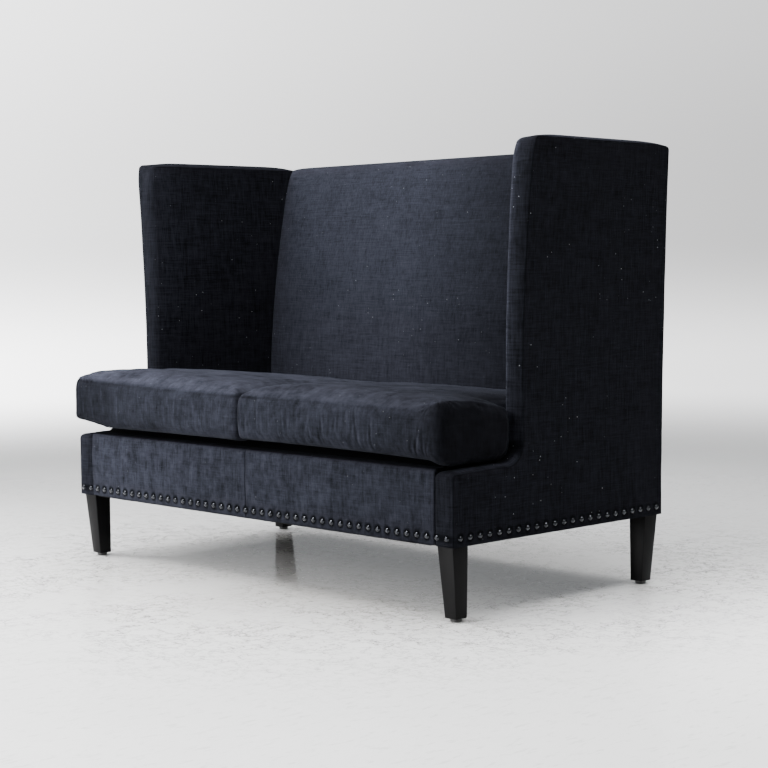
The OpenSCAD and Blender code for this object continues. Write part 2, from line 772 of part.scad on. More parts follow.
function bump(u) = 1 - abs(2 * u - 1) ^ 2.5;
function seat_u(p) = min(1, max(0, (p[0] - cushion_x0) / (ear_x - cushion_x0)));
function seat_v(p) = min(1, max(0, (p[1] + overhang) / (cushion_y1 + overhang)));
function seam_z(p) = seat_seam_h - back_seam_drop * seat_v(p);
function crown_z(p, e) =
    seam_z(p) + cushion_crown * e * (0.7 + 0.3 * bump(seat_u(p)) * bump(seat_v(p) ^ 0.7));
function hollow_z(y) =
    let (y0 = wing_y - hollow_r, z0 = low_h + hollow_r)
    z0 - sqrt(max(0, hollow_r ^ 2 - min(hollow_r, max(0, y - y0)) ^ 2));
function under_z(p) =
    let (z = cushion_z0 - ear_drop * min(1, max(0, (p[0] - main_x) / (ear_x - main_x))))
    p[0] > main_x ? max(z, hollow_z(p[1] + cushion_gap) + cushion_gap) : z;

// Rings of the cushion: inset, height in the wall, share of the crown, and shrink to the heart
wall_shares = [[1, 0.02], [0.35, 0.15], [0, 0.5], [0.3, 0.85], [1, 0.985]];
crown_shares = [[0.1, 0.2], [0.28, 0.5], [0.6, 0.82], [1, 0.98]];
heart_shares = [0.62, 0.3, 0.05];

// The heart of the L sees every corner of it, so that rings can shrink towards it
heart = [cushion_x0 + (main_x - cushion_x0) * heart_share, (ear_y - overhang) / 2];
function shrunk(outline, s) = [for (p = outline) heart + (p - heart) * s];

function cushion_rings(i, dense) =
    concat(
        [[for (p = cushion_outline(i + 5 * seam_draw, dense)) [p[0], p[1], cushion_z0 + i]]],
        [for (w = wall_shares) [for (p = cushion_outline(i + seam_draw * w[0], dense))
            let (a = under_z(p), b = seam_z(p)) [p[0], p[1], a + i + (b - a - 2 * i) * w[1]]]],
        [for (c = crown_shares) [for (p = cushion_outline(i + seam_draw + (shoulder - seam_draw) * c[0], dense))
            [p[0], p[1], crown_z(p, c[1]) - i]]],
        [for (s = heart_shares) [for (p = shrunk(cushion_outline(i + shoulder, dense), s))
            [p[0], p[1], crown_z(p, 1) - i]]]);

// A closed skin over stacked rings, with a flat fan at the bottom and a small one on top
module stack(rings, top_z) {
    n = len(rings[0]);
    m = len(rings);
    pts = concat([for (r = rings) each r], [concat(heart, [rings[0][0][2]]), concat(heart, [top_z])]);
    walls = [for (k = [0 : m - 2], i = [0 : n - 1]) let (j = (i + 1) % n)
        each [[k * n + i, (k + 1) * n + j, k * n + j], [k * n + i, (k + 1) * n + i, (k + 1) * n + j]]];
    far = (m - 1) * n;
    fans = [for (i = [0 : n - 1]) let (j = (i + 1) % n)
        each [[i, j, m * n], [far + j, far + i, m * n + 1]]];
    polyhedron(pts, concat(walls, fans), convexity = 8);
}

core_gap = 4;
zip_l = 420;
zip_h = 7;
zip_t = 1.2;
zip_z = (cushion_z0 + seat_seam_h) / 2;
zip_x = (cushion_x0 + main_x) / 2;

module cushion_form(i, dense) stack(cushion_rings(i, dense), crown_z(heart, 1) - i);

module zip_tape(g, out) {
    translate([zip_x - zip_l / 2 - g, cushion_y1 - zip_t - g, zip_z - zip_h / 2 - g])
        cube([zip_l + 2 * g, zip_t + out + g, zip_h + 2 * g]);
}

module cushion_cover(side) {
    coloured(cloth_colour) on_side(side) difference() {
        cushion_form(0, true);
        cushion_form(core_gap, false);
        zip_tape(fit, over);
    }
}

module cushion_core(side) {
    coloured(foam_colour) on_side(side) cushion_form(core_gap + 2 * fit, false);
}

module cushion_zip(side) {
    coloured(black_colour) on_side(side) zip_tape(0, 0);
}

front_rail();
rear_rail();
middle_stretcher();
corner_blocks();
back_top_rail();
back_bottom_rail();
back_stud();
back_belts();
seat_springs();
spring_clips();
tie_wires();
insulator_sheet();
deck_foam();
deck_cloth();
back_foam();
back_cover();
outside_back();
apron_padding();
apron_cover();
dust_cover();
front_nails();
leg(0);  // front_left_leg
leg(1);  // rear_left_leg
leg(2);  // front_right_leg
leg(3);  // rear_right_leg
leg_bolts();
glides();
for (side = SIDES) {
    timber_of(side) bottom_rail(0);
    timber_of(side) front_stub(0);
    timber_of(side) arm_rail(0);
    timber_of(side) wing_post(0);
    timber_of(side) rear_post(0);
    timber_of(side) tuck_rail(0);
    timber_of(side) wing_top_rail(0);
    side_padding(side);
    side_cover(side);
    outside_panel(side);
    side_nails(side);
    cushion_cover(side);
    cushion_core(side);
    cushion_zip(side);
}
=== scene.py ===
# %% [markdown]
# # A high back settee, dressed in Blender
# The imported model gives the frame: real sizes, real joints, and every rail, spring and bolt inside.
# This lesson lays the visible upholstery over that frame: two flared sides with a soft border, a
# rolled back, an apron with domed nails, and two loose cushions. All lengths are in metres.

# %% The frame and its size
import math
import bmesh
import bpy
import numpy as np
from mathutils import Matrix, Vector, noise
from mathutils.bvhtree import BVHTree


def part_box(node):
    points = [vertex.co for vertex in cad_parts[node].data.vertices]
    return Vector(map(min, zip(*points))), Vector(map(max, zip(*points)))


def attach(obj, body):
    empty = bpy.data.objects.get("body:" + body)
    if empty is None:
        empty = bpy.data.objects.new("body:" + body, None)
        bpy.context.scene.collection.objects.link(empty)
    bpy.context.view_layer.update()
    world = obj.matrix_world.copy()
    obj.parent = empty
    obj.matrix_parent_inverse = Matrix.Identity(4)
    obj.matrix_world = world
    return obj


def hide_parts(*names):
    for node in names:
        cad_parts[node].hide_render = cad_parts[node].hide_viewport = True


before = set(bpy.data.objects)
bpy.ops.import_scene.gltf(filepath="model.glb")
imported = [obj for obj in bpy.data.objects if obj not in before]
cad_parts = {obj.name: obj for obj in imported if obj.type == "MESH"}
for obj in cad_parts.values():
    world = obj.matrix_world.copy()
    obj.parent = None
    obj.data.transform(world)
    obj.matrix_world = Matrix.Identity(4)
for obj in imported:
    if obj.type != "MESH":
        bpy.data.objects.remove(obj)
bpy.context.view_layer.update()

# %% [markdown]
# ## The camera
# The photograph was taken with a long lens from the right of the settee, a little above the seat,
# almost level. A long lens keeps the upright lines upright. The camera is placed from the real
# distances, and its turn is built from the three directions that it sees: right, up and back.

# %% The camera
def put(name, data):
    """A new object in the scene, at the origin."""
    made = bpy.data.objects.new(name, data)
    bpy.context.scene.collection.objects.link(made)
    return made


eye = Vector((3.6511, -3.4029, 0.8502))
turn, dip, tilt = 0.8034, 0.0666, -0.009
sight = Vector((-math.sin(turn) * math.cos(dip), math.cos(turn) * math.cos(dip), -math.sin(dip)))
level = Vector((math.cos(turn), math.sin(turn), 0.0))
upright = level.cross(sight)
right = math.cos(tilt) * level + math.sin(tilt) * upright
up = math.cos(tilt) * upright - math.sin(tilt) * level
camera_data = bpy.data.cameras.new("camera")
camera_data.sensor_width = 36.0
camera_data.lens = 84.11
camera = put("camera", camera_data)
camera.matrix_world = Matrix((
    (right.x, up.x, -sight.x, eye.x),
    (right.y, up.y, -sight.y, eye.y),
    (right.z, up.z, -sight.z, eye.z),
    (0.0, 0.0, 0.0, 1.0)))
bpy.context.scene.camera = camera
print("The camera stands", round(eye.length, 2), "m from the settee")

# %% [markdown]
# ## Measures of the settee
# The upholstery follows the same curves as the frame under it, so the same few sizes drive both.
# Depth is counted from the face of the apron, and `place` moves a depth to the frame's own origin.

# %% Measures of the body
half_w, body_d, total_h, clear_h = 0.760, 0.800, 1.163, 0.184
side_t, low_h, wing_y, hollow_r = 0.060, 0.368, 0.240, 0.045
low_corner_r, wing_corner_r, border_crown = 0.014, 0.018, 0.008
flare_out, flare_in, flare_rear, flare_h = 0.040, 0.028, 0.008, 0.520
wing_rake, back_lean, lean_h, back_t = 0.004, 0.021, 0.300, 0.003
back_y, back_sweep, back_h, roll_h = 0.676, 0.107, 1.158, 0.150
deck_h, apron_h, overhang = 0.388, 0.368, 0.033
inner_x = half_w - side_t
mid_depth = 0.394
sides = (("left", -1.0), ("right", 1.0))


def climb(value, start, run):
    """0 at start, 1 at start + run, straight between and level beyond; run may be negative."""
    return np.clip((value - start) / run, 0.0, 1.0)


def hump(value, middle, width):
    """1 at the middle, falling away like a bell on both sides."""
    return np.exp(-((value - middle) / width) ** 2)


def place(x, depth, z):
    """Points from width, depth and height, as rows of three."""
    x, depth, z = np.broadcast_arrays(x, depth, z)
    return np.stack([x, depth - mid_depth, z], axis=-1)


def rise(z):
    return np.maximum(0.0, (z - flare_h) / (total_h - flare_h))


def flare(depth, z, front):
    """How far a side leans outwards, most at the top of its front edge."""
    along = climb(depth, wing_y, body_d - wing_y)
    return (front + (flare_rear - front) * along) * rise(z) ** 2


def outer_x(depth, z):
    return half_w + flare(depth, z, flare_out)


def wall_x(depth, z):
    return inner_x + flare(depth, z, flare_in)


def rear_y(z):
    lean = np.maximum(0.0, (z - lean_h) / (total_h - lean_h))
    return body_d - back_t + back_lean * lean


print("Width at the base", 2 * half_w, "m, at the top", round(2 * float(outer_x(wing_y, total_h)), 3), "m")

# %% [markdown]
# ## Helpers for cloth surfaces
# A tight cover is easiest to make as a grid of points that follows the curves above, because a
# grid has even faces and its rows can be crowded where a seam or a corner needs them. Small, slow
# swellings keep the cloth from looking machined: real wadding is never quite even.


# %% Grids and pieces
def spread(start, stop, count, crowd=0.0):
    """Numbers from start to stop, crowded towards both ends where crowd is near 1."""
    t = np.linspace(0.0, 1.0, count)
    eased = 0.5 - 0.5 * np.cos(np.pi * t)
    return start + (stop - start) * ((1 - crowd) * t + crowd * eased)


def unevenness(points, size, amount, seed):
    """A slow, repeatable swelling for each point, in metres."""
    shift = Vector((seed * 7.31, seed * 3.17, seed * 5.77))
    return np.array([amount * noise.noise(Vector(p) / size + shift) for p in points.reshape(-1, 3)])


def grid_faces(index):
    """Quads between the neighbours of a grid of point numbers."""
    a, b = index[:-1, :-1].ravel(), index[:-1, 1:].ravel()
    c, d = index[1:, 1:].ravel(), index[1:, :-1].ravel()
    return np.stack([a, b, c, d], axis=1).tolist()


def round_about(grid):
    """The numbers round the rim of a grid: up the front, over the top, down the rear, and back."""
    return np.concatenate([grid[:, 0], grid[-1, 1:-1], grid[::-1, -1], grid[0, -2:0:-1]])


def smooth(mesh):
    mesh.polygons.foreach_set("use_smooth", [True] * len(mesh.polygons))


def points_of(mesh):
    """The mesh's points as rows of three."""
    numbers = np.empty(len(mesh.vertices) * 3)
    mesh.vertices.foreach_get("co", numbers)
    return numbers.reshape(-1, 3)


def applied(piece):
    """The mesh that the piece's modifiers make of it."""
    graph = bpy.context.evaluated_depsgraph_get()
    return bpy.data.meshes.new_from_object(piece.evaluated_get(graph))


def make_mesh(name, points, faces, values=None):
    """A smooth mesh with faces outwards; values are float attributes, one number for each point."""
    mesh = bpy.data.meshes.new(name)
    mesh.from_pydata(np.asarray(points).reshape(-1, 3).tolist(), [], faces)
    for key, numbers in (values or {}).items():
        layer = mesh.attributes.new(key, "FLOAT", "POINT")
        layer.data.foreach_set("value", np.asarray(numbers, dtype=np.float32).ravel())
    work = bmesh.new()
    work.from_mesh(mesh)
    bmesh.ops.remove_doubles(work, verts=work.verts, dist=1e-6)
    bmesh.ops.recalc_face_normals(work, faces=work.faces)
    work.to_mesh(mesh)
    work.free()
    smooth(mesh)
    return put(name, mesh)


def closed_sheet(name, face, lining, values=None):
    """A closed sheet between two grids of points, joined round their rims."""
    index = np.arange(face[..., 0].size).reshape(face.shape[:2])
    rim = np.append(round_about(index), index[0, 0])
    faces = grid_faces(index) + grid_faces(index + index.size) + grid_faces(np.stack([rim, rim + index.size]))
    points = np.concatenate([face.reshape(-1, 3), lining.reshape(-1, 3)])
    return make_mesh(name, points, faces, values)


def dress(piece, finish, slot, body, *nodes):
    """Gives a piece its finish and its body, and lets it stand for CAD nodes."""
    piece.data.materials.clear()
    piece.data.materials.append(finish)
    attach(piece, body)
    if nodes:
        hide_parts(*nodes)
    print(piece.name, "has", len(piece.data.polygons), "faces and stands for", len(nodes), "nodes")
    return piece


# %% [markdown]
# ## Writing materials as sums
# A material is arithmetic on patterns. `Wire` wraps one output of a node, so that
# `1 - weave * 0.3` adds the Math nodes by itself, and `Finish.add` makes any other node.
# Colours go through Mix nodes, because a Math node would turn a colour grey.


# %% The small language of wires
class Wire:
    """One number that varies over a surface."""

    def __init__(self, finish, socket):
        self.finish = finish
        self.socket = socket

    def maths(self, operation, *values):
        sockets = dict(enumerate(values))
        return self.finish.add("ShaderNodeMath", {"operation": operation}, sockets)

    def __add__(self, other):
        return self.maths("ADD", self, other)

    def __sub__(self, other):
        return self.maths("SUBTRACT", self, other)

    def __rsub__(self, other):
        return self.maths("SUBTRACT", other, self)

    def __mul__(self, other):
        return self.maths("MULTIPLY", self, other)

    def __truediv__(self, other):
        return self.maths("DIVIDE", self, other)

    def __pow__(self, other):
        return self.maths("POWER", self, other)

    def above(self, level, blur):
        """0 below the level and 1 above it, with a soft step of the width blur."""
        return self.ramp(level - blur / 2, level + blur / 2, 0.0, 1.0)

    def ramp(self, first, last, start, stop):
        """From start to stop, smoothly, while the number goes from first to last."""
        sockets = {"Value": self, "From Min": first, "From Max": last, "To Min": start, "To Max": stop}
        return self.finish.add("ShaderNodeMapRange", {"interpolation_type": "SMOOTHSTEP"}, sockets)

    def size(self):
        return self.maths("ABSOLUTE", self)

    __radd__ = __add__
    __rmul__ = __mul__


class Bench:
    """A node tree under construction: one method adds any node and links its sockets."""

    def __init__(self, tree):
        self.tree = tree

    def add(self, kind, settings, sockets, take=0):
        node = self.tree.nodes.new(kind)
        for key, value in settings.items():
            setattr(node, key, value)
        for key, value in sockets.items():
            if isinstance(value, Wire):
                self.tree.links.new(value.socket, node.inputs[key])
            else:
                node.inputs[key].default_value = value
        return Wire(self, node.outputs[take])

    def axis(self, source, which):
        return self.add("ShaderNodeSeparateXYZ", {}, {0: source}, which)


class Finish(Bench):
    """A material on one Principled shader."""

    def __init__(self, name, **plain):
        self.material = bpy.data.materials.new(name)
        self.material.use_nodes = True
        super().__init__(self.material.node_tree)
        self.shader = self.tree.nodes["Principled BSDF"]
        for socket, value in plain.items():
            self.shader.inputs[socket.replace("_", " ")].default_value = value
        self.place = self.add("ShaderNodeTexCoord", {}, {}, "Object")

    def scaled(self, x, y, z):
        """The place on the piece, stretched along each axis."""
        return self.add("ShaderNodeVectorMath", {"operation": "MULTIPLY"}, {0: self.place, 1: (x, y, z)})

    def grain(self, x, y, z, detail=2.0, rough=0.5):
        """Noise with so many features to the metre along each axis, about 0 to 1."""
        sockets = {"Vector": self.scaled(x, y, z), "Scale": 1.0, "Detail": detail, "Roughness": rough}
        return self.add("ShaderNodeTexNoise", {}, sockets, "Fac")

    def attribute(self, name):
        return self.add("ShaderNodeAttribute", {"attribute_name": name}, {}, "Fac")

    def mix(self, mask, low, high):
        """From one colour to another."""
        settings = {"data_type": "RGBA", "clamp_factor": True}
        return self.add("ShaderNodeMix", settings, {0: mask, 6: low, 7: high}, 2)

    def bump(self, height, distance, strength):
        sockets = {"Height": height, "Distance": distance, "Strength": strength}
        return self.add("ShaderNodeBump", {}, sockets, "Normal")

    def feed(self, **wires):
        for socket, wire in wires.items():
            self.tree.links.new(wire.socket, self.shader.inputs[socket.replace("_", " ")])
        return self.material


def colour(r, g, b):
    return (r, g, b, 1.0)


# %% [markdown]
# ## The velvet
# The cover is a matt cotton velvet, midnight blue, with thick and thin yarns. The uneven yarns
# show as short streaks along and across, the pile lies lighter or darker in clouds, and lint sits
# on it. Pile also throws a little light back along its edges, which is what the sheen is for. The
# streaks run along the walls' own directions, so walls and flat tops each get their pair of yarns,
# and the surface's normal picks between them. One attribute says how light the pile lies on a
# piece, with light and shade painted into it as well; `seam` paints shade into the stitched
# valleys, the undersides and the tucks.


# %% Velvet
def velvet(name, lint, clouds, yarns=0.5, nails=None, pale=1.0):
    """One cover's cloth; lint, clouds and yarns say how strong each is, pale lifts the light pile."""
    f = Finish(name, Roughness=0.94, Specular_IOR_Level=0.015, Sheen_Weight=0.008, Sheen_Roughness=0.42,
               Sheen_Tint=colour(0.62, 0.70, 0.88))
    normal = f.add("ShaderNodeNewGeometry", {}, {}, "Normal")
    flat = f.axis(normal, "Z").size().above(0.62, 0.35)

    def by_slope(wall, top):
        return wall * (1 - flat) + top * flat

    warp = by_slope(f.grain(310, 310, 22), f.grain(300, 15, 20))
    weft = by_slope(f.grain(22, 22, 340), f.grain(15, 300, 20))
    thick = by_slope(f.grain(120, 120, 7), f.grain(120, 7, 20))
    slub = by_slope(f.grain(8, 8, 190, 1.0), f.grain(7, 30, 20))
    streak = by_slope(f.grain(95, 95, 20, 3.0, 0.6), f.grain(12, 17, 20, 3.0, 0.65))
    fine, cloud, wide = f.grain(900, 900, 900, 1.0), f.grain(8, 8, 8, 3.0, 0.6), f.grain(42, 42, 42, 3.0, 0.7)
    yarn = (warp - 0.5) * 1.9 + (weft - 0.5) * 1.6 + (thick - 0.5) * 0.7 + (slub - 0.5) * 0.6
    patches = (cloud - 0.5) + (wide - 0.5) * 1.6 + (streak - 0.5) * 1.3
    tone = 0.44 + yarn * yarns + patches * clouds + (fine - 0.5) * 0.5
    light = f.mix(tone, colour(0.0018, 0.0020, 0.0028), colour(0.0272 * pale, 0.0290 * pale, 0.0400 * pale))
    dark = f.mix(tone, colour(0.0001, 0.0001, 0.0002), colour(0.0034, 0.0037, 0.0049))
    # Light and shade are painted into the pile attribute, which picks between the dark and the light velvet.
    ground = f.mix(f.attribute("pile_and_painted_light"), dark, light)
    height = yarn * 0.4 + fine * 0.25
    if nails:
        ground, height = nail_dents_and_shade(f, ground, height, *nails)
    # Painted shade: seams, tucks and undersides are darkened towards black.
    ground = f.mix(f.attribute("seam") * 0.75, ground, colour(0.0008, 0.0009, 0.0013))
    cell = f.add("ShaderNodeTexVoronoi", {}, {"Vector": f.scaled(46, 46, 46), "Scale": 1.0}, "Distance")
    speck = 1 - cell.above(0.05, 0.03)
    where = f.grain(6, 6, 6, 2.0, 0.7).above(0.53, 0.2)
    ground = f.mix(speck * where * lint, ground, colour(0.26, 0.27, 0.29))
    return f.feed(Base_Color=ground, Normal=f.bump(height, 0.0011, 0.5))


def nail_dents_and_shade(f, ground, height, across, first, pitch):
    """Presses the cloth in round every nail of a row: it dips there, and a ring of shade is painted round
    each nail.
    """
    count = (f.axis(f.place, across) - first) / pitch + 0.5
    beside = count.maths("FRACT", count) - 0.5
    above = f.axis(f.place, "Z") - nail_z
    near = ((beside * pitch) ** 2 + above * above) ** 0.5
    dent_and_shade = 1 - near.above(0.0120, 0.008)
    pull = (1 - above.size().above(0.012, 0.022)) * (1 - beside.size() * 2)
    return f.mix(dent_and_shade * 0.85, ground, colour(0.0006, 0.0007, 0.0010)), height - dent_and_shade * 1.6 - pull * 0.5


front_pitch, side_pitch, nail_first, nail_z = 0.0337, 0.0341, 0.0243, 0.205
front_nails, side_nails = ("X", 0.0, front_pitch), ("Y", nail_first - mid_depth, side_pitch)
# The cushions' copy is paler, which paints more light on them than on the other covers of the same velvet.
velvet_plain = velvet("velvet", lint=0.25, clouds=0.50, yarns=0.20, pale=1.6)
velvet_back = velvet("velvet_back", lint=0.5, clouds=0.20, yarns=0.30)
velvet_apron = velvet("velvet_apron", lint=0.3, clouds=0.50, yarns=0.26, nails=front_nails)
velvet_side = velvet("velvet_side", lint=0.8, clouds=0.30, nails=side_nails)
print("Velvet nodes:", len(velvet_plain.node_tree.nodes))

# %% [markdown]
# ## The sides
# A side is an L in outline: a low front, a hollow corner, and a high wing that flares outwards.
# A padded border strip runs all round its edge between two seams, fuller in the middle, and thin
# at the pinched top corners. Both faces are grids between the front edge and the rear edge, and
# the border is a band of rings from the inner seam to the outer one. One function gives the
# outline drawn in by any amount, so every ring and both faces share it.


# %% The outline of a side
def arc(count):
    return np.linspace(0.0, np.pi / 2, count)


def side_edges(draw, columns):
    """Depth and height of the side's face, as a grid from the front edge to the rear edge."""
    top = low_h - draw
    face = 0.35 * draw - border_crown / 4
    r = max(low_corner_r - draw, low_corner_r / 4)
    r_top = max(wing_corner_r - draw, wing_corner_r / 4)
    hollow = hollow_r + draw
    heel, shelf = wing_y - hollow_r, low_h + hollow_r
    crest, sag = total_h - draw - r_top, 0.005
    z_low = np.concatenate([spread(clear_h, top - sag - r, 26)[:-1], top - sag - r + r * np.sin(arc(8))])
    y_low = np.concatenate([np.full(25, face), face + r - r * np.cos(arc(8))])
    y_shelf = spread(face + r, heel, 18)[1:-1]
    y_hollow = heel + hollow * np.sin(arc(14))
    z_hollow = shelf - hollow * np.cos(arc(14))
    z_wing = spread(shelf, crest, 70)[1:-1]
    z_turn = crest + r_top * np.sin(arc(10))
    y_wing = wing_y + draw + wing_rake * rise(z_wing) ** 2
    y_turn = wing_y + draw + wing_rake * rise(z_turn) ** 2 + r_top - r_top * np.cos(arc(10))
    z_shelf = top - sag * (1 - (y_shelf - face - r) / (heel - face - r)) ** 1.6
    front_z = np.concatenate([z_low, z_shelf, z_hollow, z_wing, z_turn])
    front_y = np.concatenate([y_low, y_shelf, y_hollow, y_wing, y_turn])
    below = len(z_low) + len(y_shelf) + len(z_hollow)
    rear_z = np.concatenate([spread(clear_h, shelf, below), z_wing, z_turn])
    back_off = np.concatenate([np.zeros(below + len(z_wing)), r_top - r_top * np.cos(arc(10))])
    rear = rear_y(rear_z) - back_off
    share = spread(0.0, 1.0, columns, 0.85)
    depth = front_y[:, None] + (rear - front_y)[:, None] * share
    height = front_z[:, None] + (rear_z - front_z)[:, None] * share
    return depth, height


face_columns = 56
edge_depth, edge_height = side_edges(0.0, face_columns)
print("The outline of a side has", len(round_about(edge_depth)), "points")

# %% [markdown]
# The border's own section: most of its draw-in lies near the seams, and at the inner seam it goes
# deeper, because the inner cover is pulled tight there. Near the wing's top corners the strip is
# pinched, so the border fades into the corner. Light and shade are painted into the pile: it is
# lightest on the edges that face the window, and nearly black on the faces that look sideways.


# %% One side
ring_places = np.array([0.0, 0.012, 0.03, 0.06, 0.10, 0.16, 0.23, 0.31, 0.40, 0.50, 0.60, 0.69, 0.77,
                        0.84, 0.90, 0.94, 0.97, 0.988, 1.0])
wing_foot = 0.42


def border_draw(t):
    """Draw-in of the border at a place from its inner seam, 0, to its outer one, 1."""
    shape = 1.7 * (1 - t / 0.5) ** 3.2 if t < 0.5 else ((t - 0.5) / 0.5) ** 3
    valley = 0.0016 * (hump(t, 0.0, 0.012) + hump(t, 1.0, 0.012))
    return border_crown * shape + valley


def pinch(depth, height):
    """1 at the wing's two top corners, falling to 0 within a hand's breadth."""
    front = np.hypot(depth - wing_y - 0.012, height - total_h + 0.012)
    rear = np.hypot(depth - rear_y(total_h) + 0.012, height - total_h + 0.012)
    return hump(np.minimum(front, rear), 0.0, 0.055)


def fold_corner(x, depth, height, t):
    """Folds the wing's top corners: the front one leans out and back, and both drop a little."""
    top = climb(height, total_h - 0.07, 0.07) ** 2
    front, rear = top * hump(depth, wing_y, 0.050), top * hump(depth, rear_y(total_h), 0.030)
    inner = 1 - t
    return x + 0.007 * front * inner, depth + 0.011 * front, height - 0.006 * front * inner - 0.005 * rear


def side_pile_and_painted_light(depth, height, t, way):
    """Lightness of the pile on a side, with light and shade painted in, on the ring at place t of the border.
    """
    near_front = np.exp(-np.clip(depth - wing_y, 0, 1) / 0.10)
    # Painted highlight along the inner seam near the wing's front; the outer face, which looks sideways, is
    # painted nearly black.
    if t == 0.0:
        return 0.25 + 0.42 * near_front * (height > wing_foot)
    if t == 1.0:
        return 0.13 + 0.04 * near_front
    # Painted light and shade: the low front, its top ledge, the wing's front border and the wing's top are
    # lighter where they catch the light, and the two sides get different values.
    fading = 0.17 + 0.62 * (1 - t) ** 2 + 0.60 * hump(t, 0.10, 0.13)
    front, wing, crest = (0.17, fading, 0.80) if way > 0 else (0.38, 0.32, 0.30)
    low_front = climb(depth, 0.03, -0.02)
    low_top = (height < wing_foot) * (depth < wing_y) * climb(height, low_h + 0.026, -0.016)
    wing_front = hump(depth, wing_y + 0.010, 0.022) * (height > wing_foot)
    border = wing * wing_front + crest * (1 - wing_front) * (height > 1.1)
    ledge = low_top * (1 - low_front) * (0.20 + 0.6 * hump(t, 0.8, 0.15))
    return np.maximum(np.maximum(low_front * front, ledge), border)


def make_side(name, way):
    points, pile_and_painted_light_rows, seams, rims = [], [], [], []
    start = 0
    tight_depth, tight_height = side_edges(border_crown, face_columns)
    for t in ring_places:
        depth, height = side_edges(border_draw(t), face_columns)
        hold = 0.75 * pinch(edge_depth, edge_height) * (4 * t * (1 - t)) ** 0.5
        depth = depth + (tight_depth - depth) * hold
        height = height + (tight_height - height) * hold
        low, high = wall_x(depth, height), outer_x(depth, height)
        whole = t in (0.0, 1.0)
        x, depth, height = fold_corner(low + (high - low) * t, depth, height, t)
        d, z, w = (depth, height, x) if whole else [round_about(v) for v in (depth, height, x)]
        # Painted shade: the rims of both faces and the seam rings are darkened, less or not at all along the
        # wing's front edge.
        if whole:
            rim = np.zeros(np.shape(d))
            rim[:, 0] = rim[-1, :] = rim[:, -1] = 1.0
            seam = 0.9 * rim
            seam[:, 0] = np.where(z[:, 0] > wing_foot, 0.0 if t == 0.0 else 0.5, 0.9)
        else:
            open_edge = (z > wing_foot) & (d < wing_y + 0.03) & (t < 0.5)
            seam = np.where(open_edge | (0.02 < t < 0.98), 0.0, 0.8)
        p = place(w, d, z).reshape(-1, 3)
        points.append(p)
        pile_and_painted_light = side_pile_and_painted_light(d, z, t, way) + np.zeros(np.shape(d))
        # Painted highlight: a light rim along the right wing's inner front edge.
        if t == 0.0 and way > 0:
            pile_and_painted_light[:, 0] = np.where(z[:, 0] > wing_foot, 0.9, pile_and_painted_light[:, 0])
        pile_and_painted_light_rows.append(pile_and_painted_light.ravel())
        seams.append(seam.ravel())
        rims.append((start, np.shape(d), whole))
        start += len(p)
    rings, faces = [], []
    for first, shape, whole in rims:
        numbers = first + np.arange(int(np.prod(shape))).reshape(shape)
        if whole:
            faces += grid_faces(numbers)
            numbers = round_about(numbers)
        rings.append(np.append(numbers, numbers[0]))
    faces += grid_faces(np.stack(rings))
    cloth = np.concatenate(points)
    cloth[:, 0] += unevenness(cloth, 0.11, 0.0009, 3) * np.where(cloth[:, 2] > 0.24, 1.0, 0.0)
    cloth[:, 0] *= way
    return make_mesh(name, cloth, faces, {"pile_and_painted_light": np.concatenate(pile_and_painted_light_rows), "seam": np.concatenate(seams)})


for side, way in sides:
    dress(make_side(side + "_side", way), velvet_side, "velvet", "settee",
          side + "_side_cover", side + "_side_padding", side + "_outside_panel")

# %% [markdown]
# ## The back
# The inside back is one tight cover over thick wadding: a gently hollow face that sweeps
# backwards and rolls over the top rail. Towards the wings it is tucked in, which leaves a thin
# shadow line with a soft edge beside it. The section is a curve in depth and height, repeated
# across the width, so a grid of section times width makes it.


# %% The section of the back
def face_y(z):
    return back_y + back_sweep * (np.maximum(0.0, z - deck_h) / (total_h - deck_h)) ** 2


def back_section(tuck, drop):
    """Depth and height from the foot of the face over the roll and down the rear."""
    foot, start, stop = deck_h - 0.025, back_h - roll_h, back_h - drop
    z_face = spread(foot, start, 40)[:-1]
    slope = 2 * back_sweep * (start - deck_h) / (total_h - deck_h) ** 2
    p = np.array([face_y(start), start])
    q = p + np.array([slope, 1.0]) * roll_h * 0.42
    s = np.array([rear_y(back_h) - 0.014, stop])
    r = s - np.array([roll_h * 0.15, 0.0])
    t = np.linspace(0.0, 1.0, 26)[:, None]
    roll = p * (1 - t) ** 3 + 3 * q * t * (1 - t) ** 2 + 3 * r * t ** 2 * (1 - t) + s * t ** 3
    ease = 1 - t[:, 0]
    turn_r = 0.0135
    bend = arc(8)[1:]
    y_turn, z_turn = s[0] + turn_r * np.sin(bend) - 0.0003, stop - turn_r + turn_r * np.cos(bend)
    z_rear = spread(stop - turn_r, foot, 24)[1:]
    y_face, y_roll, y_rear = face_y(z_face) + tuck, roll[:, 0] + tuck * ease, rear_y(z_rear) - 0.0006
    depth = np.concatenate([y_face, y_roll, y_turn, y_rear])
    height = np.concatenate([z_face, roll[:, 1], z_turn, z_rear])
    return depth, height


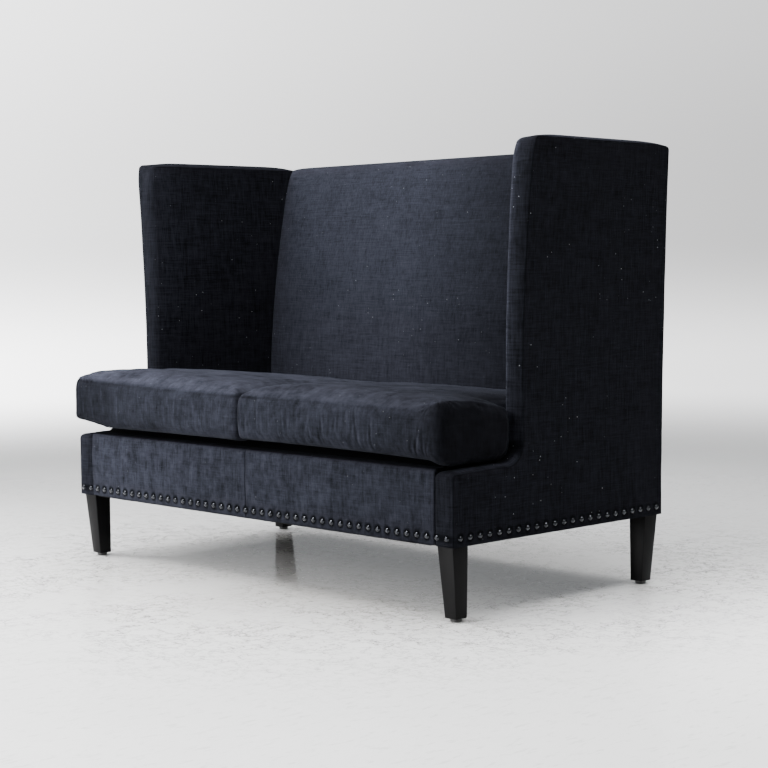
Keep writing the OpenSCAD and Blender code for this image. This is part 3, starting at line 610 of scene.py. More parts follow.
# %% The inside back
def make_back():
    across = spread(-1.0, 1.0, 141, 0.75)
    near_wing = climb(np.abs(across), 0.8, 0.2)
    sections = [back_section(0.009 * e ** 5, 0.005 * e ** 6) for e in near_wing]
    depth, height = (np.stack(rows) for rows in zip(*sections))
    across = across[:, None]
    x = across * (wall_x(depth, height) - 0.0012)
    cloth = place(x, depth, height)
    swell = unevenness(cloth, 0.16, 0.0018, 5).reshape(depth.shape)
    open_face = climb(depth, 0.78, -0.05) * (1 - np.abs(across) ** 6)
    cloth[..., 1] += swell * open_face
    index = np.arange(depth.size).reshape(depth.shape)
    faces = grid_faces(index) + grid_faces(np.stack([index[:, -1], index[:, 0]]))
    half = index.shape[1] // 2
    for end in (index[0], index[-1]):
        low, high = end[:half], end[::-1][:half]
        faces += grid_faces(np.stack([low, high]))
        if index.shape[1] % 2:
            faces.append([int(n) for n in end[half - 1:half + 2]])
    # Painted shade and light: the back darkens towards the right, a light rim is painted at its left end, and
    # its tucked ends are painted dark.
    pile_and_painted_light = 0.93 - 1.15 * np.clip(across + 0.15, 0.0, 0.85) + 0.35 * hump(across, -0.985, 0.012)
    seam = climb(np.abs(across), 0.9965, 0.0035)
    every = np.ones(depth.shape)
    return make_mesh("inside_back", cloth, faces, {"pile_and_painted_light": pile_and_painted_light * every, "seam": seam * every})


dress(make_back(), velvet_back, "velvet", "settee", "back_cover", "back_foam")


# %% [markdown]
# ## The outside back
# The outside back is a plain panel, blind-tacked along its edges, so it lies a little fuller than
# its own rim. It carries the settee's only large flat surface, where slight ripples matter most.


# %% The outside back
def make_outside_back():
    top = total_h - wing_corner_r - border_crown
    z = spread(clear_h, top, 90, 0.6)
    across = spread(-1.0, 1.0, 120, 0.8)
    rim = np.minimum((1 - np.abs(across))[:, None] * half_w, np.minimum(z - clear_h, top - z)[None, :])
    full = back_t * np.clip(1 - (1 - np.minimum(rim / 0.006, 1.0)) ** 2, 0.0, 1.0)
    x = across[:, None] * (outer_x(body_d, z) - border_crown / 2)[None, :]
    outside = place(x, rear_y(z)[None, :] + 0.0003 + full, z[None, :])
    outside[..., 1] += unevenness(outside, 0.14, 0.0009, 8).reshape(x.shape) * np.minimum(rim / 0.03, 1.0)
    inside = place(x, rear_y(z)[None, :] + 0.0002, z[None, :])
    pile_and_painted_light = np.repeat([0.45, 0.1], x.size)
    return closed_sheet("outside_back_cover", outside, inside, {"pile_and_painted_light": pile_and_painted_light})


dress(make_outside_back(), velvet_back, "velvet", "settee", "outside_back")

# %% [markdown]
# ## The apron
# The band under the cushions is padded and rounded over the front rail. It has a seam in the
# middle and ends in a tight roll at either side front. Between the nails and the top the cloth
# hangs in faint upright ripples. The grid is finer near the seam and near both ends.


# %% The apron
def make_apron():
    half = inner_x - 0.0004
    right_half = spread(0.0, half, 150, 0.75)
    edges = np.concatenate([-right_half[::-1], right_half[1:]])
    top, r, low, rear = apron_h, 0.014, 0.004, 0.0447
    z_face = spread(clear_h + low, top - r, 44)
    lift = climb(z_face, clear_h + 0.042, top - r - clear_h - 0.042)
    bend, heel = arc(12)[1:], arc(5)[1:]
    section_y = np.concatenate([[rear, low], low - low * np.sin(heel), -0.002 * np.sin(np.pi * lift),
                                r - r * np.cos(bend), [0.028, rear]])
    section_z = np.concatenate([[clear_h] * 2, clear_h + low - low * np.cos(heel), z_face,
                                top - r + r * np.sin(bend), [top, top]])
    x, depth = np.meshgrid(edges, section_y, indexing="ij")
    height = np.meshgrid(edges, section_z, indexing="ij")[1]
    shown = climb(depth, 0.02, -0.02)
    seam = hump(x, 0.0, 0.0022)
    roll = climb(np.abs(x), half - 0.005, 0.005) ** 2
    upper = climb(height, 0.215, 0.04)
    ripple = sum(a * hump(x - s * (height - 0.28), c, w) for c, s, w, a in (
        (-0.026, 0.10, 0.010, 0.0011), (0.030, -0.06, 0.013, 0.0013), (0.071, -0.10, 0.010, 0.0008),
        (-0.21, 0.05, 0.03, 0.0010), (0.24, 0.08, 0.03, 0.0012), (-0.48, -0.05, 0.04, 0.0010),
        (0.52, 0.10, 0.035, 0.0012), (0.39, -0.12, 0.018, 0.0008), (-0.64, 0.02, 0.02, 0.0008)))
    cloth = place(x, depth, height)
    swell = unevenness(cloth, 0.09, 0.0012, 11).reshape(x.shape)
    cloth[..., 1] += shown * (0.0022 * seam + 0.004 * roll - ripple * upper - swell * upper)
    index = np.arange(x.size).reshape(x.shape)
    faces = grid_faces(index) + grid_faces(np.stack([index[:, -1], index[:, 0]]))
    faces += [index[0].tolist(), index[-1].tolist()]
    # Painted shade: black on the top behind the face, under the cushions; darker towards the right, in the
    # centre seam and at the rolled ends. The face is also darker towards the bottom.
    under = climb(depth, 0.003, 0.006)
    pile_and_painted_light = (0.78 - 0.29 * x + 0.04 * np.sin(x * 9.0) - 0.15 * climb(height, 0.24, -0.05)) * (1 - under)
    dark = np.maximum(np.maximum(seam, roll) * shown, under)
    return make_mesh("apron", cloth, faces, {"pile_and_painted_light": pile_and_painted_light, "seam": dark})


dress(make_apron(), velvet_apron, "velvet", "settee", "apron_cover", "apron_padding")

# %% [markdown]
# ## Deck and dust cloth
# Under the cushions a plain dark platform cloth runs over the deck's foam, and a black fleece
# closes the underside. Each is a closed grid with plain yarns. The platform cloth's sheet is as
# thick as the foam, so nothing light shows beside it when a cushion is lifted. The fleece sags a
# little between its staples.


# %% Plainer cloths
def plain_cloth(name, dark, light, size, strength=0.4):
    f = Finish(name, Roughness=0.95, Specular_IOR_Level=0.05)
    warp, weft = f.grain(size, size / 14, size), f.grain(size / 14, size, size)
    tone = 0.5 + (warp - 0.5) * 0.9 + (weft - 0.5) * 0.9 + (f.grain(12, 12, 12) - 0.5) * 0.4
    return f.feed(Base_Color=f.mix(tone, dark, light), Normal=f.bump(warp + weft, 0.0006, strength))


lining = plain_cloth("platform_cloth", colour(0.0008, 0.0009, 0.0012), colour(0.0035, 0.0038, 0.0050), 900)
fleece = plain_cloth("dust_fleece", colour(0.003, 0.003, 0.003), colour(0.010, 0.010, 0.010), 400, 0.2)
jute = plain_cloth("jute", colour(0.20, 0.15, 0.08), colour(0.46, 0.36, 0.22), 700, 0.8)


def make_slab(name, xs, depths, top, thick, lowest=0.0):
    """A closed sheet: top gives its upper height over a grid of width and depth."""
    x, depth = np.meshgrid(xs, depths, indexing="ij")
    height = top(x, depth)
    lower = np.maximum(height - thick, lowest)
    return closed_sheet(name, place(x, depth, height), place(x, depth, lower))


deck_half, deck_front, deck_rear = 0.6996, 0.045, 0.6755
fleece_half, fleece_front, fleece_rear = 0.68, 0.006, 0.794


def deck_height(x, depth):
    t = climb(depth, deck_front, 0.060)
    foot = apron_h - 0.0025
    return foot + (deck_h - foot) * (3 * t ** 2 - 2 * t ** 3)


def sheet_height(x, depth):
    """The jute sheet hangs on the springs, highest at their middle."""
    return sheet_high.z - 0.001 - 0.012 * ((depth - 0.36) / 0.33) ** 2


def fleece_height(x, depth):
    across = climb(x, -fleece_half, 2 * fleece_half)
    along = climb(depth, fleece_front, fleece_rear - fleece_front)
    return 0.1837 - 0.0014 * np.sin(np.pi * across) * np.sin(np.pi * along) + 0.0002 * np.sin(x * 60)


foam_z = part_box("deck_foam")[0].z
deck = make_slab("platform_cloth", spread(-deck_half, deck_half, 60), spread(deck_front, deck_rear, 60),
                 deck_height, deck_h - foam_z, foam_z)
dress(deck, lining, "lining", "settee", "deck_cloth", "deck_foam")
sheet_low, sheet_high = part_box("insulator_sheet")
sheet_depths = spread(sheet_low.y + mid_depth, sheet_high.y + mid_depth, 24)
sheet = make_slab("insulator", spread(sheet_low.x, sheet_high.x, 30), sheet_depths, sheet_height, 0.0018)
dress(sheet, jute, "jute", "settee", "insulator_sheet")
under = make_slab("dust_cloth", spread(-fleece_half, fleece_half, 50), spread(fleece_front, fleece_rear, 40),
                  fleece_height, 0.0020)
dress(under, fleece, "dust_cloth", "settee", "dust_cover")

# %% [markdown]
# ## The seat cushions
# Each cushion is an L: the ear passes in front of the wing. Its wall is fullest at mid height, it
# is drawn in at both seams, and the top is crowned. Use has settled each of them in its own way:
# the left one curls up at its front corner, the right one has sunk beside its wing. `settled` holds
# these marks of use, as heights in metres that were judged from the photograph. Real cushions
# get their look from being stuffed: the cloth is a little too small for the filling, so it swells
# and puckers. So the shape is built slightly small, and a cloth simulation blows it up from
# inside. The seams come after that, because the remeshing for the simulation would erase them.


# %% The plan of a cushion
seam_h, seam_draw, crown_h, shoulder = 0.510, 0.006, 0.038, 0.12105
gap, ear_x, ear_drop, back_seam_drop = 0.002, 0.748, 0.012, 0.008
cushion_x0, main_x, ear_y, cushion_y1, cushion_z0 = 0.001, 0.698, 0.236, 0.674, 0.3883
heart = np.array([cushion_x0 + (main_x - cushion_x0) * 0.46, (ear_y - overhang) / 2])


def cushion_plan(d):
    """The corners of the L seen from above, inset by d, each as a run of points."""
    corners = [(cushion_x0 + d, d - overhang, 0.012, 180, 1), (ear_x - d, d - overhang, 0.026, 270, 1),
               (ear_x - d, ear_y - d, 0.016, 0, 1), (main_x - d, ear_y - d, 0.012, 270, -1),
               (main_x - d, cushion_y1 - d, 0.030, 0, 1), (cushion_x0 + d, cushion_y1 - d, 0.012, 90, 1)]
    ways = {0: (1, 1), 1: (-1, 1), 2: (-1, -1), 3: (1, 1), 4: (-1, -1), 5: (1, -1)}
    runs = []
    for k, (x, y, r, first, out) in enumerate(corners):
        r = max(r - d, 0.002) if out > 0 else min(r + d, 0.018)
        centre = np.array([x + ways[k][0] * r, y + ways[k][1] * r])
        a = np.radians(first + out * np.linspace(0.0, 90.0, 9))
        runs.append(centre + r * np.stack([np.cos(a), np.sin(a)], axis=1))
    return runs


def walk(runs, counts):
    """The corners joined by evenly divided edges."""
    points = []
    for k, run in enumerate(runs):
        after = runs[(k + 1) % len(runs)][0]
        points.append(run)
        t = np.linspace(0.0, 1.0, counts[k] + 2)[1:-1, None]
        points.append(run[-1] + (after - run[-1]) * t)
    return np.concatenate(points)


edge_counts = (110, 34, 2, 70, 110, 110)
print("A cushion's edge has", len(walk(cushion_plan(0.0), edge_counts)), "points")


# %% Heights of a cushion
def bulge(u):
    return 1 - np.abs(2 * u - 1) ** 2.5


def along_cushion(depth):
    """0 at the cushion's front, 1 at its rear."""
    return climb(depth + overhang, 0.0, cushion_y1 + overhang)


def beside_wing(x):
    """0 within the settee's walls, 1 at the end of the ear."""
    return climb(x, main_x, ear_x - main_x)


def ear_front(depth):
    """1 over the front half of the ear, falling to 0 at its rear."""
    return np.clip(1.25 - (depth + overhang) / 0.24, 0, 1)


def corner_tip(x, depth):
    """1 at the front corner of the ear, 0 away from it."""
    return climb(x, 0.610, 0.138) * ear_front(depth)


def settled(p, way):
    """How far use has moved the lower seam, the upper seam and the crown, in metres."""
    x, depth = p[:, 0], p[:, 1]
    out = climb(x, 0.20, 0.55)
    fore = np.clip(1 - (depth + overhang) / 0.11, 0, 1) ** 2
    ear = climb(x - main_x, -0.02, 0.05)
    ear_rear = ear * climb(depth, 0.09, 0.14)
    rear = along_cushion(depth) ** 2
    low = 0.007 * climb(depth, 0.02, -0.04) - 0.005 * ear * (1 - fore)
    seam = -0.010 * rear - 0.016 * ear_rear ** 1.5
    if way < 0:
        sunk = 0.015 * (rear * climb(x, 0.35, 0.30))
        level = ear_drop * beside_wing(x) * ear_front(depth)
        curl = 0.006 * ear * np.sin(np.pi * climb(depth + overhang, 0.0, 0.20))
        low = low - (0.005 + 0.002 * out) * (depth < 0.02) + 0.024 * corner_tip(x, depth) + level
        seam = seam + curl + 0.014 * out - sunk
        crown = 0.015 * out - 0.006 * ear_rear - 0.030 * rear - sunk
    else:
        low = low - 0.008 * out ** 2
        seam = seam + 0.022 * ear - 0.010 * ear_rear - 0.004 * out
        crown = -0.012 * out - 0.022 * ear_rear - 0.028 * rear
    return low, seam, crown


def seam_height(p, way):
    return seam_h - back_seam_drop * along_cushion(p[:, 1]) + settled(p, way)[1]


def crown_height(p, ease, way):
    u, v = climb(p[:, 0], cushion_x0, ear_x - cushion_x0), along_cushion(p[:, 1])
    _, seam, crown = settled(p, way)
    full = crown_h * (0.7 + 0.3 * bulge(u) * bulge(v ** 0.7)) + crown - seam
    return seam_height(p, way) + ease * np.maximum(full, 0.004)


def under_height(p, way):
    z = cushion_z0 - ear_drop * beside_wing(p[:, 0]) + settled(p, way)[0]
    over = np.clip(p[:, 1] + gap - (wing_y - hollow_r), 0, hollow_r)
    shelf = low_h + hollow_r - np.sqrt(hollow_r ** 2 - over ** 2) + gap
    return np.where(p[:, 0] > main_x, np.maximum(z, shelf), z)


def wall_ring(inset, share, way):
    """The wall's outline at a share of its height: drawn in at the seams, not at a turned-up tip."""
    full = walk(cushion_plan(inset), edge_counts)
    tight = walk(cushion_plan(inset + seam_draw), edge_counts)
    hold = 1 - 1.3 * corner_tip(full[:, 0], full[:, 1]) * (way < 0 and share < 0.5)
    return full + (tight - full) * (abs(2 * share - 1) ** 3 * hold)[:, None]


def cushion_rings(inset, way):
    """Rings of points from the middle of the underside, up the wall, to the middle of the top."""
    def outline(draw):
        return walk(cushion_plan(inset + draw), edge_counts)

    def towards_heart(line, share):
        return heart + (line - heart) * share

    pairs = []
    for s in (0.08, 0.35, 0.7):
        pairs.append((towards_heart(outline(0.045), s), cushion_z0 + inset))
    for draw in (0.045, 0.030, 0.018, 0.011):
        p = outline(draw)
        pairs.append((p, under_height(p, way) + inset))
    for w in np.concatenate([[0.004, 0.015], np.linspace(0.04, 0.96, 21), [0.985, 1.0]]):
        p = wall_ring(inset, w, way)
        low, high = under_height(p, way) + inset, seam_height(p, way) - inset
        pairs.append((p, low + (high - low) * w))
    for c in np.concatenate([[0.012, 0.03, 0.055, 0.085, 0.12], np.linspace(0.16, 1.0, 18)]):
        p = outline(seam_draw + (shoulder - seam_draw) * c)
        pairs.append((p, crown_height(p, 1 - (1 - c) ** 3.2, way) - inset))
    for s in (0.86, 0.72, 0.58, 0.44, 0.30, 0.16, 0.06):
        p = towards_heart(outline(shoulder), s)
        pairs.append((p, crown_height(p, 1.0, way) - inset))
    return np.stack([np.column_stack([p, np.broadcast_to(z, len(p))]) for p, z in pairs])


def cushion_mesh(name, inset, way):
    rings = cushion_rings(inset, way)
    m, n = rings.shape[:2]
    index = np.arange(m * n).reshape(m, n)
    faces = grid_faces(np.column_stack([index, index[:, 0]]))
    hearts = np.array([[*heart, rings[0, 0, 2]], [*heart, rings[-1, :, 2].mean()]])
    for k in range(n):
        faces.append([int(index[0, k]), int(index[0, (k + 1) % n]), m * n])
        faces.append([int(index[-1, (k + 1) % n]), int(index[-1, k]), m * n + 1])
    points = np.concatenate([rings.reshape(-1, 3), hearts])
    cloth = place(points[:, 0] * way, points[:, 1], points[:, 2])
    return make_mesh(name, cloth, faces)


# %% [markdown]
# The simulation: remesh to even quads, blow up with a little pressure and no gravity, and cap how
# far any point moves. Afterwards a point that left the cushion's real room is drawn back to it,
# so the cushion stays clear of the wings, the back and its twin. Blown cloth is round at every
# corner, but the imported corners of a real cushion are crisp, so each point is also pushed
# straight out from where it started, and the two places are averaged.


# %% Stuffing a cushion
def surface_of(piece):
    work = bmesh.new()
    work.from_mesh(piece.data)
    tree = BVHTree.FromBMesh(work)
    work.free()
    return tree


def stuff(piece, frames=20, pressure=4.0, cap=0.026):
    """Blows the cover up from inside; returns the cloth before and after, and which way it faces."""
    remesh = piece.modifiers.new("even quads", "REMESH")
    remesh.mode, remesh.voxel_size = "VOXEL", 0.0062
    bpy.context.view_layer.update()
    even = applied(piece)
    piece.modifiers.clear()
    piece.data = even
    before = points_of(even)
    facing = np.array([v.normal for v in even.vertices])
    cloth = piece.modifiers.new("cloth", "CLOTH")
    cloth.settings.quality = 4
    cloth.settings.mass = 0.3
    cloth.settings.tension_stiffness = cloth.settings.compression_stiffness = 22.0
    cloth.settings.bending_stiffness = 0.35
    cloth.settings.use_pressure = True
    cloth.settings.uniform_pressure_force = pressure
    cloth.settings.effector_weights.gravity = 0.0
    cloth.point_cache.frame_start, cloth.point_cache.frame_end = 1, frames
    scene = bpy.context.scene
    for number in range(1, frames + 1):
        scene.frame_set(number)
    blown = applied(piece)
    piece.modifiers.clear()
    piece.data = blown
    scene.frame_set(1)
    move = points_of(blown) - before
    length = np.linalg.norm(move, axis=1, keepdims=True)
    return before, before + move * np.minimum(1.0, cap / np.maximum(length, 1e-9)), facing


def filled_out(before, blown, facing, tree):
    """Keeps the blown cloth in the cushion's room, crisp where the cushion is packed or pressed."""
    skin, slack, give, push = 0.0026, 0.003, 0.12, 0.0085
    points = blown.copy()
    for k, p in enumerate(blown):
        hit, normal, _, _ = tree.find_nearest(Vector(p))
        out = min((Vector(p) - hit).dot(normal) + skin, 0.0)
        if out < -slack:
            out = -slack + (out + slack) * give
        crisp = tree.find_nearest(Vector(before[k]) + Vector(facing[k]) * push)[0]
        packed = 0.50 + 0.50 * hump(p[0], 0.0, 0.06) + 0.50 * hump(p[0], -ear_x, 0.07)
        points[k] = (hit + normal * out).lerp(crisp, float(packed))
    return points


# %% [markdown]
# The seams and creases: `seam_distance` tells how far a point of the wall or the top lies from the
# seam line, and the cloth dips there, with shade painted into the seam. The creases are drawn by
# the filling's pull: upright on the front wall, and fanning out at the front corners. Light is painted
# on one flank of each crease, and light and shade are painted into the pile of the tops and walls.


# %% Seams and creases
def creases(x, z, fall, seed):
    """Depth of the drag lines in the front wall: fine ones everywhere, more beside the twin."""
    rng = np.random.default_rng(seed)
    dip = np.zeros(len(x))
    for k in range(44):
        middle = 0.70 * rng.random() ** (1.6 if k % 2 else 0.8) + 0.012
        lean, width = rng.uniform(-0.20, 0.30), rng.uniform(0.0022, 0.0070)
        deep, start = rng.uniform(0.0005, 0.0018), rng.uniform(0.0, 0.7)
        fade = climb(np.abs(fall - start - 0.25), 0.50, -0.50)
        dip += deep * hump(x - lean * (z - 0.45), middle, width) * fade
    return dip


def seam_distance(line, points):
    """How far each point lies from a closed line."""
    n = len(line)
    ribbon = [Vector(p) for p in line] + [Vector(p) + Vector((0, 0, 1e-5)) for p in line]
    tree = BVHTree.FromPolygons(ribbon, [(k, (k + 1) % n, (k + 1) % n + n, k + n) for k in range(n)])
    return np.array([tree.find_nearest(Vector(p))[3] for p in points])


def sewn(points, way, seed):
    """Dips for the seams, creases and puckers, for points in the frame, with the pile's painted light and
    shade and the seams' painted shade.
    """
    x, depth, z = points[:, 0] * way, points[:, 1] + mid_depth, points[:, 2]
    plan, here = np.column_stack([x, depth]), np.column_stack([x, depth, z])
    rim, foot = wall_ring(0.0, 1.0, way), wall_ring(0.0, 0.0, way)
    slack = 0.0030
    from_seam = seam_distance(np.column_stack([rim, seam_height(rim, way)]), here)
    from_low_seam = seam_distance(np.column_stack([foot, under_height(foot, way)]), here)
    top_seam = hump(np.maximum(from_seam - slack, 0.0), 0.0, 0.0028)
    low_seam = hump(from_low_seam, 0.0, 0.0035)
    above = z - seam_height(plan, way)
    fall = climb(above, 0.0, -0.12)
    front = climb(depth, 0.012, -0.02) * climb(above, 0.0, -0.02) * climb(z, 0.392, 0.012)
    moved = points.copy()
    moved[:, 1] += creases(x, z, fall, seed) * front
    turn = (creases(x - 0.003, z, fall, seed) - creases(x + 0.003, z, fall, seed)) * front
    off_x, off_depth = x - ear_x + 0.035, depth - 0.035 + overhang
    reach, angle = np.hypot(off_x, off_depth), np.arctan2(off_depth, off_x)
    fan = np.sin(angle * 17 + 1.3 * np.sin(angle * 5)) * hump(reach, 0.034, 0.026)
    moved[:, 2] -= 0.0010 * top_seam + 0.0026 * fan * hump(above, 0.008, 0.018)
    inward = np.column_stack([-(x - heart[0]) * way, -(depth - heart[1])])
    inward /= np.maximum(np.linalg.norm(inward, axis=1, keepdims=True), 1e-6)
    pull = 0.0011 * top_seam + 0.0022 * low_seam + 0.0012 * fan * hump(above, -0.010, 0.020)
    moved[:, :2] += inward * pull[:, None]
    wrinkle = unevenness(points * np.array([0.35, 1.0, 0.35]), 0.036, 0.0024, seed)
    moved[:, 2] += wrinkle * climb(above, 0.0, 0.012)
    # Painted light and shade in the pile: the tops darken from left to right and beside the wing, and light
    # is painted on the rounded front roll and round the ear's front corner.
    lean = climb(points[:, 0], -0.75, 1.5)
    roll = np.exp(-np.clip(depth + overhang, 0, 1) / 0.045)
    painted_shade_by_wing = climb(x, 0.52, 0.18) * climb(depth, 0.06, 0.14)
    top_pile_and_painted_light = (0.85 - 0.62 * lean) * (1 - 0.8 * painted_shade_by_wing) + (0.55 - 0.25 * lean) * roll
    top_pile_and_painted_light += 0.25 * hump(reach, 0.01, 0.03)
    # Painted shade: the ear's end, which faces sideways, is darkened, the walls are lighter towards the
    # middle of the settee and darker at the foot, and one flank of each crease is painted lighter.
    end_run, end_painted_shade, end_top = (0.076, 0.82, 0.8) if way > 0 else (0.02, 0.2, 0.0)
    end = climb(x, ear_x - 0.004 - end_run, end_run) ** 2
    wall_pile_and_painted_light = (0.18 + 1.12 * lean * (1 - lean)) * (1 - end_painted_shade * end) * (1 - 0.35 * fall ** 4)
    up = climb(above, -0.003, 0.014) * (1 - end_top * end)
    # Painted shade: the underside goes black, and the seams are darkened.
    under = climb(z, under_height(plan, way) + 0.003, -0.004)
    pile_and_painted_light = (wall_pile_and_painted_light + turn * 110 + (top_pile_and_painted_light - wall_pile_and_painted_light) * up) * (1 - under)
    return moved, pile_and_painted_light, np.maximum(np.maximum(top_seam * 0.7, low_seam), under)


def make_cushion(name, way, seed):
    built_small = 0.007
    room = cushion_mesh(name + "_room", 0.0, way)
    tree = surface_of(room)
    piece = cushion_mesh(name, built_small, way)
    points = filled_out(*stuff(piece), tree)
    piece.data.vertices.foreach_set("co", points.ravel())
    piece.data.update()
    finer = piece.modifiers.new("finer", "SUBSURF")
    finer.levels = finer.render_levels = 1
    piece.data = applied(piece)
    piece.modifiers.clear()
    bpy.data.objects.remove(room)
    moved, pile_and_painted_light, seam = sewn(points_of(piece.data), way, seed)
    piece.data.vertices.foreach_set("co", moved.ravel())
    for key, numbers in (("pile_and_painted_light", pile_and_painted_light), ("seam", seam)):
        layer = piece.data.attributes.new(key, "FLOAT", "POINT")
        layer.data.foreach_set("value", np.asarray(numbers, dtype=np.float32))
    smooth(piece.data)
    piece.data.update()
    return piece


for (side, way), seed in zip(sides, (21, 34)):
    name = side + "_cushion"
    cushion = make_cushion(name, way, seed)
    dress(cushion, velvet_plain, "velvet", name, name + "_cover", name + "_core")

# %% [markdown]
# ## Metal, lacquer, timber and the rest
# Finishes for the hard parts. The nails are dark gunmetal with a polished dome, worn slightly
# uneven. The legs are black satin lacquer over close grain. The frame inside is planed beech.


# %% Hard finishes
def polished(name, low, high, rough):
    f = Finish(name, Metallic=1.0)
    patch, scratch = f.grain(300, 300, 300, 3.0), f.grain(1200, 1200, 100)
    return f.feed(Base_Color=f.mix(patch, low, high), Normal=f.bump(scratch + patch, 0.0001, 0.3),
                  Roughness=patch * 0.16 + scratch * 0.10 + (rough - 0.12))


def lacquer():
    f = Finish("black_lacquer", Specular_IOR_Level=0.055)
    grain, cloud = f.grain(420, 420, 16, 3.0), f.grain(25, 25, 25)
    return f.feed(Base_Color=f.mix(cloud, colour(0.0006, 0.0006, 0.0007), colour(0.0024, 0.0023, 0.0026)),
                  Roughness=grain * 0.12 + cloud * 0.10 + 0.27, Normal=f.bump(grain, 0.00025, 0.35))


def beech(name, along):
    f = Finish(name, Specular_IOR_Level=0.3)
    stretch = [7.0 if axis == along else 90.0 for axis in "XYZ"]
    fleck = [40.0 if axis == along else 900.0 for axis in "XYZ"]
    grain, flecks = f.grain(*stretch, 4.0, 0.6), f.grain(*fleck, 1.0)
    tone = grain * 0.8 + (flecks - 0.5) * 0.5 + 0.1
    return f.feed(Base_Color=f.mix(tone, colour(0.36, 0.21, 0.10), colour(0.62, 0.44, 0.26)),
                  Roughness=0.45 + grain * 0.25, Normal=f.bump(flecks + grain, 0.0003, 0.5))


def moulded(name, low, high, rough):
    f = Finish(name, Specular_IOR_Level=0.4)
    pits = f.grain(1500, 1500, 1500, 2.0)
    return f.feed(Base_Color=f.mix(f.grain(60, 60, 60), low, high), Roughness=pits * 0.2 + (rough - 0.1),
                  Normal=f.bump(pits, 0.0001, 0.4))


def zip_row(name, box):
    """Woven tape with a row of moulded teeth along its middle."""
    f = Finish(name, Specular_IOR_Level=0.35)
    pitch, half_row = 0.0030, 0.0028
    from_middle = (f.axis(f.place, "Z") - (box[0].z + box[1].z) / 2).size()
    count = f.axis(f.place, "X") / pitch
    tooth = 1 - (count.maths("FRACT", count) - 0.5).size().above(0.20, 0.10)
    teeth = tooth * (1 - from_middle.above(half_row, 0.0005))
    weave = f.grain(700, 700, 1500, 1.0)
    tape = f.mix(weave, colour(0.006, 0.007, 0.010), colour(0.022, 0.024, 0.032))
    return f.feed(Base_Color=f.mix(teeth, tape, colour(0.045, 0.047, 0.055)), Roughness=0.85 - teeth * 0.5,
                  Normal=f.bump(teeth + weave * 0.3, 0.0008, 0.6))


gunmetal = polished("gunmetal", colour(0.008, 0.0085, 0.010), colour(0.032, 0.034, 0.038), 0.17)
steel = polished("drawn_steel", colour(0.38, 0.38, 0.39), colour(0.56, 0.56, 0.57), 0.33)
black_lacquer = lacquer()
glide_plastic = moulded("glide_plastic", colour(0.012, 0.012, 0.012), colour(0.028, 0.028, 0.028), 0.5)
zips = zip_row("zip_row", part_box("left_cushion_zip"))
timbers = {axis: beech("beech_" + axis.lower(), axis) for axis in "XYZ"}
print("Hard finishes:", [m.name for m in (gunmetal, steel, black_lacquer, glide_plastic, zips)])

# %% [markdown]
# ## The nails
# Ninety-one equal nails in three rows are a repeat, so a Geometry Nodes tree sets them: it puts a
# small turned head on each point, turned to the way the point faces, and tips it by up to two
# degrees, as a hammer does. The head's profile is turned on a lathe, with a fine lip at its rim.


# %% One nail head
def turned(name, profile, count):
    """A solid of revolution round Z, from (radius, height) pairs that start and end on the axis."""
    points, faces, rows = [], [], []
    for radius, height in profile:
        if radius < 1e-7:
            rows.append([len(points)] * count)
            points.append((0.0, 0.0, height))
            continue
        rows.append([len(points) + k for k in range(count)])
        for k in range(count):
            angle = math.tau * k / count
            points.append((radius * math.cos(angle), radius * math.sin(angle), height))
    for low_row, high_row in zip(rows, rows[1:]):
        for k in range(count):
            after = (k + 1) % count
            face = list(dict.fromkeys([low_row[k], low_row[after], high_row[after], high_row[k]]))
            if len(face) > 2:
                faces.append(face)
    return make_mesh(name, points, faces)


dome = [(0.0, 0.0055), (0.0022, 0.0053), (0.0042, 0.0046), (0.0060, 0.0034), (0.0072, 0.0019),
        (0.0079, 0.0007), (0.0080, 0.0001), (0.0074, -0.0004), (0.0, -0.0004)]
nail_head = turned("nail_head", dome, 20)
print("A nail head has", len(nail_head.data.polygons), "faces")


# %% The tree that sets nails
def nail_tree():
    tree = bpy.data.node_groups.new("set_nails", "GeometryNodeTree")
    kinds = {"Geometry": "Geometry", "Head": "Object", "Head Size": "Float", "Tip": "Float", "Seed": "Int",
             "Finish": "Material"}
    for label, kind in kinds.items():
        tree.interface.new_socket(label, in_out="INPUT", socket_type="NodeSocket" + kind)
    tree.interface.new_socket("Geometry", in_out="OUTPUT", socket_type="NodeSocketGeometry")
    bench = Bench(tree)
    inputs = tree.nodes.new("NodeGroupInput").outputs
    given = {socket.name: Wire(bench, socket) for socket in inputs if socket.name}
    head = bench.add("GeometryNodeObjectInfo", {}, {"Object": given["Head"]}, "Geometry")
    facing = bench.add("GeometryNodeInputNamedAttribute", {"data_type": "FLOAT_VECTOR"}, {"Name": "facing"},
                       "Attribute")
    turned_out = bench.add("FunctionNodeAlignRotationToVector", {"axis": "Z"}, {"Vector": facing})
    plus, minus = given["Tip"], given["Tip"] * -1.0
    lowest = bench.add("ShaderNodeCombineXYZ", {}, {"X": minus, "Y": minus})
    highest = bench.add("ShaderNodeCombineXYZ", {}, {"X": plus, "Y": plus})
    chance = bench.add("FunctionNodeRandomValue", {"data_type": "FLOAT_VECTOR"},
                       {0: lowest, 1: highest, "Seed": given["Seed"]})
    tip = bench.add("FunctionNodeEulerToRotation", {}, {0: chance})
    tipped = bench.add("FunctionNodeRotateRotation", {"rotation_space": "LOCAL"},
                       {"Rotation": turned_out, "Rotate By": tip})
    heads = bench.add("GeometryNodeInstanceOnPoints", {},
                      {"Points": given["Geometry"], "Instance": head, "Rotation": tipped,
                       "Scale": given["Head Size"]})
    real = bench.add("GeometryNodeRealizeInstances", {}, {0: heads})
    painted = bench.add("GeometryNodeSetMaterial", {}, {"Geometry": real, "Material": given["Finish"]})
    tree.links.new(painted.socket, tree.nodes.new("NodeGroupOutput").inputs[0])
    return tree


